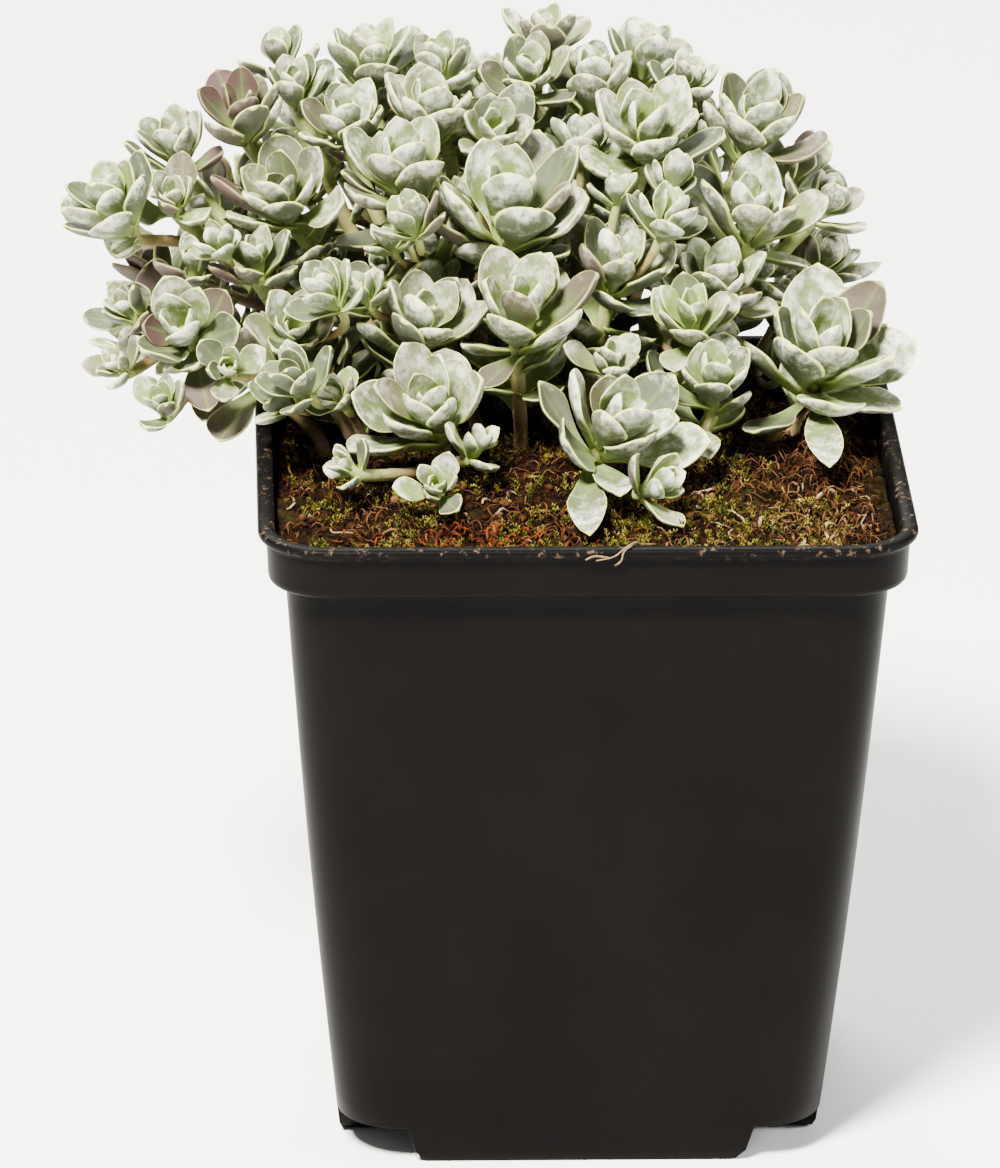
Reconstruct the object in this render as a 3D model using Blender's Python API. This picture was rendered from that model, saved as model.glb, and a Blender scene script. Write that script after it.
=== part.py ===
"""Potted sedum: a square nursery pot, a block of peat and branching leafy stems.

Lengths are written in millimetres and the finished solids are scaled to metres.  +Z is up, the front
of the pot faces -Y and the origin is the middle of the flat underside of the foot.
"""
import math
import random
from dataclasses import dataclass

import bmesh
import bpy
import numpy as np
from mathutils import Vector
from mathutils.bvhtree import BVHTree

MM = 0.001
GAP = 0.3

# Pot: half widths, heights and corner radii.
POT_HEIGHT = 95.0
BODY_HALF_BOTTOM = 33.4
BODY_HALF_TOP = 41.2
BODY_BULGE = 0.45
BODY_TOP_Z = 86.8
CORNER_BOTTOM = 9.2
CORNER_TOP = 7.6
WALL = 1.05
FOOT_HEIGHT = 5.1
FOOT_HALF_TOP = 24.2
FOOT_HALF_BOTTOM = 21.7
FLOOR = 1.1
LEDGE_Z = 87.4
RIM_INNER_HALF = 42.6
DRAIN_CENTRE = 27.6
DRAIN_RADIUS = 2.5

# Soil: height of its surface and how deep the stems stand in it.
SOIL_TOP = 92.4
SOIL_DIP = 2.4
STEM_DEPTH = 7.0
STEM_RADIUS = 1.05

# Leaf outline at parts of its length (part, width, thickness), and how narrow its underside is.
LONG_STATIONS = ((0.36, 0.46, 0.75), (0.70, 1.0, 1.0), (0.91, 0.74, 0.8))
SHORT_STATIONS = ((0.52, 0.90, 1.0), (0.86, 0.84, 0.85))
KEEL = 0.5

# The view that the heads were measured in: a camera in front of the pot and a little above it.
VIEW_AZIMUTH = math.radians(-2.54)
VIEW_ELEVATION = math.radians(21.5)
VIEW_ROLL = math.radians(0.47)
VIEW_DISTANCE = 1300.0
VIEW_FOCAL = 9197.0
VIEW_CENTRE = (500.0, 584.0)
VIEW_AIM = Vector((-10.75, 0.0, 73.49))
VIEW_PIVOT = Vector((0.0, 0.0, 47.0))

# The middle that the stems fan out from.
FAN_CENTRE = (-6.0, 12.0)


@dataclass(frozen=True)
class Head:
    """One rosette: where its heart is seen, how far back it is, its leaf length and its lean."""

    across: float
    down: float
    deep: float
    size: float
    lean: tuple
    leaves: int = 7
    turn: float = 0.0


@dataclass(frozen=True)
class Stray:
    """One older leaf: where its tip is seen, how far back it is, and where it leaves the stem."""

    across: float
    down: float
    deep: float
    along: float
    half_width: float
    head: int = 0


@dataclass(frozen=True)
class Stem:
    """One leafy stem that stands in the soil, with the heads it carries."""

    name: str
    heads: tuple
    strays: tuple = ()


STEMS = (
    Stem("stem_front_left", (
        Head(430, 402, -9, 10.5, (-0.25, -0.55), 9, 20),
        Head(436, 484, -27, 4.8, (-0.1, -0.9), 6, 40),
        Head(482, 440, -15, 5.2, (0.5, -0.3), 5, 0),
        Head(345, 466, -19, 4.0, (-1.2, -0.5), 4, 30),
    ), (
        Stray(352, 452, -14, 0.93, 4.6),
        Stray(505, 452, -20, 0.9, 2.4),
    )),
    Stem("stem_front_mid", (
        Head(620, 420, -16, 11.0, (0.45, -0.5), 9, 75),
        Head(663, 482, -29, 5.8, (1.3, -0.6), 6, 10),
        Head(612, 356, -8, 5.4, (0.2, -0.5), 6, 25),
    ), (
        Stray(536, 382, -9, 0.8, 3.6),
        Stray(618, 512, -30, 0.85, 2.8),
        Stray(582, 526, -38.6, 0.85, 2.8),
    )),
    Stem("stem_right_big", (
        Head(822, 342, 8, 12.5, (0.15, -0.4), 10, 5),
    ), (
        Stray(912, 355, 16, 0.9, 2.4),
        Stray(903, 408, 4, 0.86, 4.2),
        Stray(742, 340, 8, 0.92, 3.8),
        Stray(750, 432, -8, 0.84, 3.4),
        Stray(826, 466, -19, 0.85, 2.7),
    )),
    Stem("stem_right_low", (
        Head(715, 375, -5, 7.8, (0.05, -0.35), 8, 60),
    ), (
        Stray(710, 458, -16, 0.75, 1.9),
        Stray(752, 392, -6, 0.93, 2.0),
    )),
    Stem("stem_right_bright", (
        Head(692, 312, 3, 7.0, (-0.05, -0.3), 7, 15),
    ), (
        Stray(672, 372, -2, 0.85, 2.9),
    )),
    Stem("stem_right_pale", (
        Head(718, 276, 14, 8.2, (0.1, -0.3), 7, 50),
    ), (
        Stray(780, 312, 12, 0.85, 3.2),
    )),
    Stem("stem_mid_right", (
        Head(618, 262, 10, 9.0, (0.2, -0.25), 8, 0),
    ), (
        Stray(660, 312, 6, 0.88, 2.8),
    )),
    Stem("stem_mid_front", (
        Head(525, 305, 0, 11.0, (0.1, -0.4), 9, 33),
    ), (
        Stray(460, 345, -2, 0.9, 2.4),
        Stray(480, 388, -6, 0.88, 2.3),
    )),
    Stem("stem_mid_low", (
        Head(425, 318, 3, 9.5, (0.2, -0.45), 8, 12),
        Head(380, 268, 10, 4.0, (-0.1, -0.5), 5, 0),
    ), (
        Stray(355, 322, 2, 0.85, 2.0),
    )),
    Stem("stem_centre_big", (
        Head(508, 200, 12, 12.5, (0.1, -0.35), 10, 48),
    ), (
        Stray(572, 252, 8, 0.92, 3.0),
        Stray(420, 210, 10, 0.9, 3.4),
    )),
    Stem("stem_centre_left", (
        Head(402, 160, 16, 10.2, (0.0, -0.3), 9, 70),
    ), (
        Stray(340, 170, 16, 0.9, 2.6),
        Stray(430, 255, 12, 0.82, 2.4),
    )),
    Stem("stem_left_mid", (
        Head(294, 328, 3, 7.2, (-0.1, -0.9), 8, 5),
        Head(229, 366, -2, 5.0, (0.0, -1.2), 6, 30),
    ), (
        Stray(300, 385, 2, 0.55, 4.8),
    )),
    Stem("stem_left_big", (
        Head(182, 328, 5, 9.6, (-0.35, -1.1), 9, 80),
        Head(160, 400, 0, 5.2, (-0.3, -0.5), 6, 10),
    ), (
        Stray(205, 412, 0, 0.8, 3.0),
        Stray(228, 446, 2, 0.7, 4.2),
    )),
    Stem("stem_left_low", (
        Head(124, 305, 12, 5.6, (-0.7, -0.5), 6, 0),
        Head(114, 362, 5, 4.4, (-0.8, -0.6), 5, 50),
    ), (
        Stray(132, 280, 14, 0.9, 2.4),
    )),
    Stem("stem_left_up", (
        Head(256, 256, 12, 6.6, (-0.1, -0.35), 7, 22),
        Head(192, 258, 15, 5.2, (-0.1, -0.4), 6, 66),
    ), (
        Stray(155, 262, 14, 0.85, 3.4, 1),
    )),
    Stem("stem_left_purple", (
        Head(282, 192, 18, 8.8, (-0.3, -0.55), 9, 35),
    ), (
        Stray(212, 178, 18, 0.93, 3.9),
        Stray(225, 215, 12, 0.9, 2.6),
    )),
    Stem("stem_left_far", (
        Head(172, 195, 19, 6.0, (-0.2, -0.7), 6, 10),
        Head(110, 196, 15, 8.6, (-0.55, -0.2), 7, 40),
    ), (
        Stray(62, 226, 14, 0.93, 1.9, 1),
        Stray(116, 256, 11, 0.8, 1.7, 1),
    )),
    Stem("stem_right_high", (
        Head(752, 208, 20, 10.2, (0.1, -0.35), 9, 14),
    ), (
        Stray(690, 195, 20, 0.9, 1.9),
        Stray(815, 268, 22, 0.85, 2.6),
    )),
    Stem("stem_right_edge", (
        Head(832, 196, 30, 6.8, (0.7, -0.2), 6, 70),
        Head(808, 160, 36, 7.6, (0.45, -0.1), 6, 5),
    )),
    Stem("stem_top_left", (
        Head(172, 140, 27, 7.2, (-0.3, -0.2), 8, 30),
    ), (
        Stray(122, 140, 26, 0.9, 2.3),
    )),
    Stem("stem_top_purple", (
        Head(242, 108, 28, 8.4, (-0.15, -0.35), 8, 55),
    )),
    Stem("stem_top_pair", (
        Head(296, 84, 32, 6.4, (-0.1, -0.3), 7, 15),
        Head(278, 48, 40, 6.2, (-0.25, 0.0), 6, 45),
    )),
    Stem("stem_top_cup", (
        Head(370, 52, 41, 8.2, (0.0, 0.0), 7, 0),
    ), (
        Stray(335, 68, 40, 0.93, 2.2),
    )),
    Stem("stem_top_mid", (
        Head(345, 116, 28, 7.4, (-0.1, -0.35), 7, 62),
    )),
    Stem("stem_top_back", (
        Head(438, 58, 38, 7.4, (0.0, -0.1), 6, 27),
    )),
    Stem("stem_top_broad", (
        Head(432, 108, 27, 9.2, (0.05, -0.25), 8, 72),
    )),
    Stem("stem_top_tight", (
        Head(494, 128, 23, 7.2, (0.05, -0.7), 8, 18),
    )),
    Stem("stem_top_centre", (
        Head(530, 70, 35, 6.8, (0.05, -0.5), 8, 40),
        Head(546, 26, 45, 6.6, (0.05, 0.0), 6, 8),
    )),
    Stem("stem_top_wide", (
        Head(590, 78, 37, 8.8, (0.05, -0.1), 7, 58),
    )),
    Stem("stem_high_big", (
        Head(645, 126, 25, 10.4, (0.05, -0.5), 9, 85),
    )),
    Stem("stem_top_right", (
        Head(642, 52, 43, 8.4, (0.1, 0.05), 8, 20),
        Head(690, 74, 38, 5.4, (0.35, -0.1), 6, 35),
    )),
    Stem("stem_high_right", (
        Head(757, 118, 32, 10.0, (0.2, -0.3), 9, 64),
    ), (
        Stray(704, 100, 32, 0.93, 2.2),
    )),
)

# Heads on the far side of the plant, out of the measured view: x, y, z, leaf length, leaves.
FAR_HEADS = (
    ("stem_far_left", -60.0, 28.0, 112.0, 7.4, 6),
    ("stem_far_corner", -50.0, 46.0, 119.0, 8.4, 6),
    ("stem_far_low_left", -34.0, 52.0, 107.0, 7.8, 6),
    ("stem_back_left", -38.0, 57.0, 128.0, 8.4, 6),
    ("stem_back_mid_left", -19.0, 62.0, 123.0, 8.8, 6),
    ("stem_back_low", -8.0, 54.0, 106.0, 7.8, 6),
    ("stem_back_mid", 1.0, 62.0, 125.0, 9.0, 6),
    ("stem_back_right", 19.0, 56.0, 122.0, 8.8, 6),
    ("stem_back_low_right", 22.0, 46.0, 105.0, 7.8, 6),
    ("stem_right_back", 37.0, 40.0, 110.0, 8.6, 6),
)


def clear_scene():
    """Remove every object that the file starts with."""
    for item in list(bpy.data.objects):
        bpy.data.objects.remove(item, do_unlink=True)


def view_axes():
    """Return the camera position and its right, up and back directions in millimetres."""
    back = Vector((
        math.sin(VIEW_AZIMUTH) * math.cos(VIEW_ELEVATION),
        -math.cos(VIEW_AZIMUTH) * math.cos(VIEW_ELEVATION),
        math.sin(VIEW_ELEVATION),
    ))
    camera = VIEW_PIVOT + back * VIEW_DISTANCE
    back = (camera - VIEW_AIM).normalized()
    right = Vector((0.0, 0.0, 1.0)).cross(back).normalized()
    up = back.cross(right)
    turned_right = right * math.cos(VIEW_ROLL) + up * math.sin(VIEW_ROLL)
    turned_up = up * math.cos(VIEW_ROLL) - right * math.sin(VIEW_ROLL)
    return camera, turned_right, turned_up, back


def seen_point(across, down, deep):
    """Return the point of the plane y = deep that is seen at the given place of the view."""
    camera, right, up, back = view_axes()
    ray = right * ((across - VIEW_CENTRE[0]) / VIEW_FOCAL)
    ray = ray - up * ((down - VIEW_CENTRE[1]) / VIEW_FOCAL) - back
    return camera + ray * ((deep - camera.y) / ray.y)


def blend(value, low, high):
    """Return a smooth 0 to 1 step of value between low and high."""
    part = min(1.0, max(0.0, (value - low) / (high - low)))
    return part * part * (3.0 - 2.0 * part)


def soil_height(x, y):
    """Return the height of the soil surface, which is lower at the left and the back."""
    dip = SOIL_DIP * blend(-x, -12.0, 38.0) * blend(y, -32.0, 12.0)
    lumps = 0.55 * math.sin(0.21 * x + 1.3) * math.cos(0.17 * y + 0.4)
    lumps += 0.3 * math.sin(0.43 * x - 0.29 * y)
    return SOIL_TOP - dip + lumps


def body_half(z):
    """Return the half width of the pot body at a height, with its slight outward bulge."""
    part = z / BODY_TOP_Z
    straight = BODY_HALF_BOTTOM + (BODY_HALF_TOP - BODY_HALF_BOTTOM) * part
    return straight + BODY_BULGE * math.sin(math.pi * part)


def square_ring(half, radius, z, notch=FOOT_HALF_TOP, steps=4):
    """Return a rounded square with two extra points on each side, anticlockwise from the front."""
    side = [(-notch, -half), (notch, -half)]
    for step in range(steps + 1):
        angle = -0.5 * math.pi + 0.5 * math.pi * step / steps
        side.append((
            half - radius + radius * math.cos(angle),
            radius - half + radius * math.sin(angle),
        ))
    points = []
    for quarter in range(4):
        turn = 0.5 * math.pi * quarter
        for x, y in side:
            points.append((
                x * math.cos(turn) - y * math.sin(turn),
                x * math.sin(turn) + y * math.cos(turn),
                z,
            ))
    return points


def cross_ring(half, arm, z):
    """Return the outline of the cross-shaped foot, three points for each quarter."""
    points = []
    for quarter in range(4):
        turn = 0.5 * math.pi * quarter
        for x, y in ((-arm, -half), (arm, -half), (arm, -arm)):
            points.append((
                x * math.cos(turn) - y * math.sin(turn),
                x * math.sin(turn) + y * math.cos(turn),
                z,
            ))
    return points


class Shell:
    """A mesh built ring by ring, with every face turned outward at the end."""

    def __init__(self):
        self.points = []
        self.faces = []

    def add_ring(self, points):
        """Add the points of a ring and return the index of its first one."""
        first = len(self.points)
        self.points.extend(points)
        return first

    def join(self, low, high, count):
        """Join two rings of the same count with quads."""
        for step in range(count):
            after = (step + 1) % count
            self.faces.append((low + step, low + after, high + after, high + step))

    def stack(self, rings):
        """Add rings one over another, joined in turn, and return their first indices."""
        firsts = [self.add_ring(ring) for ring in rings]
        for low, high in zip(firsts, firsts[1:]):
            self.join(low, high, len(rings[0]))
        return firsts

    def cross_floor(self, square, crosses, count):
        """Close a square ring below with raised corners and a cross-shaped foot."""
        per_side = count // 4
        upper = crosses[0]
        for quarter in range(4):
            start = square + quarter * per_side
            corner = [start + step for step in range(1, per_side)]
            corner.append(square + (quarter * per_side + per_side) % count)
            inner = upper + quarter * 3 + 2
            self.faces.append(tuple(corner + [inner]))
            low = crosses[1] + quarter * 3
            after = crosses[1] + (quarter * 3 + 3) % 12
            nearest = start + 1
            farthest = square + (quarter * per_side + per_side) % count
            self.faces.append((start, start + 1, low + 1, low))
            self.faces.append((nearest, inner, low + 2, low + 1))
            self.faces.append((inner, farthest, after, low + 2))
        for high, low in zip(crosses[1:], crosses[2:]):
            self.join(low, high, 12)
        last = crosses[-1]
        inners = [last + 2, last + 5, last + 8, last + 11]
        self.faces.append(tuple(inners))
        for quarter in range(4):
            before = inners[quarter - 1]
            first = last + quarter * 3
            self.faces.append((before, first, first + 1, inners[quarter]))

    def build(self, name):
        """Make the mesh object in millimetres, with its normals made consistent."""
        mesh = bpy.data.meshes.new(name)
        mesh.from_pydata([tuple(point) for point in self.points], [], self.faces)
        work = bmesh.new()
        work.from_mesh(mesh)
        loose = [vert for vert in work.verts if not vert.link_faces]
        bmesh.ops.delete(work, geom=loose, context="VERTS")
        bmesh.ops.triangulate(work, faces=work.faces)
        bmesh.ops.recalc_face_normals(work, faces=work.faces)
        if work.calc_volume(signed=True) < 0.0:
            bmesh.ops.reverse_faces(work, faces=work.faces)
        work.to_mesh(mesh)
        work.free()
        item = bpy.data.objects.new(name, mesh)
        bpy.context.scene.collection.objects.link(item)
        return item


def apply_boolean(target, others, operation, solver):
    """Apply one Boolean of a target with a group of objects, then remove the group."""
    group = bpy.data.collections.new("cutting_group")
    bpy.context.scene.collection.children.link(group)
    for other in others:
        for owner in list(other.users_collection):
            owner.objects.unlink(other)
        group.objects.link(other)
        other.hide_render = True
        other.display_type = "WIRE"
    modifier = target.modifiers.new("cut", "BOOLEAN")
    modifier.operand_type = "COLLECTION"
    modifier.collection = group
    modifier.operation = operation
    modifier.solver = solver
    bpy.context.view_layer.update()
    graph = bpy.context.evaluated_depsgraph_get()
    result = bpy.data.meshes.new_from_object(target.evaluated_get(graph))
    target.modifiers.remove(modifier)
    old = target.data
    target.data = result
    bpy.data.meshes.remove(old)
    for other in others:
        bpy.data.objects.remove(other, do_unlink=True)
    bpy.data.collections.remove(group)


def prism(name, centre, radius, low, high, sides):
    """Make an upright prism."""
    shell = Shell()
    rings = []
    for z in (low, high):
        rings.append([
            (
                centre[0] + radius * math.cos(2.0 * math.pi * step / sides),
                centre[1] + radius * math.sin(2.0 * math.pi * step / sides),
                z,
            )
            for step in range(sides)
        ])
    firsts = shell.stack(rings)
    shell.faces.append(tuple(firsts[0] + step for step in range(sides)))
    shell.faces.append(tuple(firsts[1] + step for step in range(sides)))
    return shell.build(name)


def build_pot():
    """Build the moulded pot with its lip, band, tapered wall, cross foot and drain holes."""
    shell = Shell()
    outer = [
        square_ring(body_half(FOOT_HEIGHT), CORNER_BOTTOM, FOOT_HEIGHT),
        square_ring(body_half(32.0), 8.7, 32.0),
        square_ring(body_half(60.0), 8.1, 60.0),
        square_ring(BODY_HALF_TOP, CORNER_TOP, BODY_TOP_Z),
        square_ring(42.9, 8.0, 87.5),
        square_ring(43.6, 8.2, 88.7),
        square_ring(43.8, 8.4, 93.2),
        square_ring(44.75, 9.6, 93.6),
        square_ring(45.0, 10.0, 94.3),
        square_ring(44.5, 9.6, POT_HEIGHT),
        square_ring(43.2, 8.4, POT_HEIGHT),
        square_ring(RIM_INNER_HALF, 8.0, 94.5),
        square_ring(RIM_INNER_HALF - 0.15, 7.6, LEDGE_Z + 1.2),
        square_ring(body_half(BODY_TOP_Z) - WALL, 6.8, LEDGE_Z),
        square_ring(body_half(60.0) - WALL, 7.1, 60.0),
        square_ring(body_half(32.0) - WALL, 7.7, 32.0),
        square_ring(body_half(FOOT_HEIGHT + FLOOR) - WALL, 8.2, FOOT_HEIGHT + FLOOR,
                    FOOT_HALF_TOP - WALL),
    ]
    firsts = shell.stack(outer)
    count = len(outer[0])
    below = [
        shell.add_ring(cross_ring(body_half(FOOT_HEIGHT), FOOT_HALF_TOP, FOOT_HEIGHT)),
        shell.add_ring(cross_ring(body_half(1.4), 23.1, 1.4)),
        shell.add_ring(cross_ring(body_half(0.0) - 0.25, FOOT_HALF_BOTTOM, 0.0)),
    ]
    shell.cross_floor(firsts[0], below, count)
    top = FOOT_HEIGHT + FLOOR
    inside = [
        shell.add_ring(cross_ring(body_half(top) - WALL, FOOT_HALF_TOP - WALL, top)),
        shell.add_ring(cross_ring(body_half(FLOOR) - WALL, FOOT_HALF_BOTTOM - 0.4, FLOOR)),
    ]
    shell.cross_floor(firsts[-1], inside, count)
    pot = shell.build("pot")
    drains = []
    for side_x in (-1, 1):
        for side_y in (-1, 1):
            centre = (side_x * DRAIN_CENTRE, side_y * DRAIN_CENTRE)
            name = "cut_drain_%d_%d" % (side_x + 1, side_y + 1)
            drains.append(prism(name, centre, DRAIN_RADIUS, FOOT_HEIGHT - 2.0, top + 2.0, 10))
    apply_boolean(pot, drains, "DIFFERENCE", "EXACT")
    return pot


def build_soil(roots):
    """Build the peat block that fills the pot, with a plain hole for each root place."""
    shell = Shell()
    top = FOOT_HEIGHT + FLOOR + GAP
    arm = FOOT_HALF_TOP - WALL - GAP
    inner = WALL + GAP
    edge_half = RIM_INNER_HALF - 0.15 - GAP
    rings = [
        square_ring(body_half(top) - inner, 8.0, top, arm),
        square_ring(body_half(40.0) - inner, 7.4, 40.0, arm),
        square_ring(body_half(BODY_TOP_Z) - inner, 6.6, LEDGE_Z + 0.15, arm),
        square_ring(edge_half - 0.05, 7.3, LEDGE_Z + 1.35, arm),
    ]
    for part in (1.0, 0.82, 0.58, 0.3):
        flat = square_ring(edge_half * part, 7.3 * part, 0.0, arm * part)
        rings.append([(x, y, soil_height(x, y)) for x, y, z in flat])
    firsts = shell.stack(rings)
    count = len(rings[0])
    middle = shell.add_ring([(0.0, 0.0, soil_height(0.0, 0.0))])
    for step in range(count):
        after = (step + 1) % count
        shell.faces.append((firsts[-1] + step, firsts[-1] + after, middle))
    low = FLOOR + GAP
    crosses = [
        shell.add_ring(cross_ring(body_half(top) - inner, arm, top)),
        shell.add_ring(cross_ring(body_half(low) - inner, FOOT_HALF_BOTTOM - 0.8, low)),
    ]
    shell.cross_floor(firsts[0], crosses, count)
    soil = shell.build("soil")
    holes = []
    for number, (x, y) in enumerate(roots):
        ground = soil_height(x, y)
        radius = (STEM_RADIUS + GAP) / math.cos(math.pi / 6.0)
        holes.append(prism("cut_hole_%02d" % number, (x, y), radius,
                           ground - STEM_DEPTH - GAP, ground + 4.0, 6))
    apply_boolean(soil, holes, "DIFFERENCE", "EXACT")
    return soil


class Growth:
    """A head in place: its node, heart, axis, base and the directions around the axis."""

    def __init__(self, node, heart, lean, size, leaves, turn):
        self.node = node
        self.heart = heart
        self.axis = Vector((lean[0], lean[1], 1.0)).normalized()
        self.size = size
        self.leaves = leaves
        self.turn = math.radians(turn)
        self.base = heart - self.axis * (0.72 * size)
        self.side = Vector((1.0, 0.0, 0.0))
        self.side = (self.side - self.axis * self.side.dot(self.axis)).normalized()
        self.other = self.axis.cross(self.side)

    def radial(self, angle):
        """Return the direction at an angle around the axis."""
        return self.side * math.cos(angle) + self.other * math.sin(angle)


def place_heads():
    """Return the heads of every stem, the near ones from the view and the far ones by place."""
    grown = []
    for stem in STEMS:
        heads = []
        for head in stem.heads:
            heart = seen_point(head.across, head.down, head.deep)
            heads.append(Growth(stem.name, heart, head.lean, head.size, head.leaves, head.turn))
        grown.append((stem.name, heads, stem.strays))
    for number, (name, x, y, z, size, leaves) in enumerate(FAR_HEADS):
        lean = ((x - FAN_CENTRE[0]) / 70.0, (y - FAN_CENTRE[1]) / 60.0)
        heads = [Growth(name, Vector((x, y, z)), lean, size, leaves, 47.0 * number)]
        grown.append((name, heads, ()))
    return grown


def root_places(grown):
    """Return where each stem enters the soil, fanned in from its first head and kept apart."""
    places = []
    for name, heads, strays in grown:
        base = heads[0].base
        pull = min(0.62, max(0.06, (base.z - 98.0) / 40.0))
        x = base.x + (FAN_CENTRE[0] - base.x) * pull
        y = base.y + (FAN_CENTRE[1] - base.y) * pull
        places.append([min(35.0, max(-35.0, x)), min(36.0, max(-32.0, y))])
    spots = np.array(places)
    for step in range(200):
        offset = spots[:, None, :] - spots[None, :, :]
        distance = np.sqrt((offset ** 2).sum(axis=2)) + np.eye(len(spots)) * 100.0
        push = np.clip(6.2 - distance, 0.0, None) / distance
        spots = spots + 0.3 * (offset * push[:, :, None]).sum(axis=1)
        spots = np.clip(spots, -35.5, 35.5)
    return [(float(x), float(y)) for x, y in spots]


def bezier(start, first, second, end, count):
    """Return points along a cubic curve, without its first point."""
    points = []
    for step in range(1, count + 1):
        part = step / count
        rest = 1.0 - part
        points.append(
            start * rest ** 3 + first * (3.0 * rest * rest * part)
            + second * (3.0 * rest * part * part) + end * part ** 3
        )
    return points


def stem_paths(grown, roots):
    """Return a dense path to every head: straight out of the soil, then curving to the head."""
    paths = []
    for (name, heads, strays), (x, y) in zip(grown, roots):
        ground = soil_height(x, y)
        low = Vector((x, y, ground - STEM_DEPTH))
        top = Vector((x, y, ground + 1.0))
        main = []
        for order, head in enumerate(heads):
            if order == 0:
                reach = (head.base - top).length
                curve = bezier(top, top + Vector((0.0, 0.0, 0.45 * reach)),
                               head.base - head.axis * (0.42 * reach), head.base, 18)
                main = [low, top] + curve
                paths.append([name, order, main, head, 2])
                continue
            start = main[min(range(2, len(main) - 3),
                             key=lambda spot: branch_cost(main[spot], head, spot))]
            reach = (head.base - start).length
            rise = Vector((0.0, 0.0, 0.25 * reach))
            curve = bezier(start, start + rise, head.base - head.axis * (0.4 * reach),
                           head.base, 12)
            paths.append([name, order, [start.copy()] + curve, head, 1])
    return paths


def branch_cost(point, head, spot):
    """Return how poorly a point of the main stem suits as the start of a side stem."""
    away = (head.base - point).length
    climb = head.base.z - point.z
    return away + 1.2 * max(0.0, 0.35 * away - climb) - 0.05 * spot


def relax_paths(paths):
    """Push the stems of different nodes apart, and clear of the other nodes' hearts."""
    owners = []
    holds = []
    for number, (name, order, path, head, fixed) in enumerate(paths):
        owners.extend([name] * len(path))
        for spot in range(len(path)):
            holds.append(spot < fixed or spot >= len(path) - 2)
    labels = {name: number for number, name in enumerate(sorted(set(owners)))}
    owner = np.array([labels[name] for name in owners])
    held = np.array(holds)
    points = np.array([tuple(point) for entry in paths for point in entry[2]])
    hearts = np.array([tuple(entry[3].heart - entry[3].axis * 0.3 * entry[3].size)
                       for entry in paths])
    spans = np.array([0.36 * entry[3].size + 1.2 for entry in paths])
    heart_owner = np.array([labels[entry[0]] for entry in paths])
    other = owner[:, None] != owner[None, :]
    other_heart = owner[:, None] != heart_owner[None, :]
    starts = np.cumsum([0] + [len(entry[2]) for entry in paths])
    for step in range(90):
        offset = points[:, None, :] - points[None, :, :]
        distance = np.sqrt((offset ** 2).sum(axis=2)) + 1e-6
        push = np.where(other, np.clip(3.3 - distance, 0.0, None), 0.0) / distance
        move = (offset * push[:, :, None]).sum(axis=1) * 0.25
        offset = points[:, None, :] - hearts[None, :, :]
        distance = np.sqrt((offset ** 2).sum(axis=2)) + 1e-6
        push = np.where(other_heart, np.clip(spans[None, :] - distance, 0.0, None), 0.0)
        move = move + (offset * (push / distance)[:, :, None]).sum(axis=1) * 0.35
        move[held] = 0.0
        points = points + np.clip(move, -0.8, 0.8)
        for low, high in zip(starts[:-1], starts[1:]):
            part = points[low:high]
            smooth = part.copy()
            smooth[1:-1] = 0.5 * part[1:-1] + 0.25 * (part[:-2] + part[2:])
            free = ~held[low:high]
            part[free] = smooth[free]
        for spot in range(len(points)):
            if not held[spot]:
                floor = soil_height(points[spot, 0], points[spot, 1]) + 1.6
                outside = max(abs(points[spot, 0]), abs(points[spot, 1])) > 39.5
                if outside:
                    floor = POT_HEIGHT + 1.8
                points[spot, 2] = max(points[spot, 2], floor)
    for entry, low, high in zip(paths, starts[:-1], starts[1:]):
        entry[2] = [Vector(tuple(point)) for point in points[low:high]]


def thin_paths(paths):
    """Keep a few points of every path, and start each side stem on the line of its main stem."""
    mains = {}
    for entry in paths:
        name, order, path, head, fixed = entry
        rest = path[fixed - 1:]
        segments = 3 if (rest[-1] - rest[0]).length > 22.0 else 2
        picks = [rest[round(step * (len(rest) - 1) / segments)] for step in range(1, segments + 1)]
        thin = path[:fixed] + picks
        if order == 0:
            mains[name] = thin
        else:
            thin[0] = nearest_on(mains[name][1:], path[0])
        entry[2] = thin


def nearest_on(line, point):
    """Return the point of a broken line that is nearest to a point."""
    best = line[0]
    for low, high in zip(line, line[1:]):
        span = high - low
        part = min(1.0, max(0.0, (point - low).dot(span) / span.length_squared))
        spot = low + span * part
        if (spot - point).length < (best - point).length:
            best = spot
    return best.copy()


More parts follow.
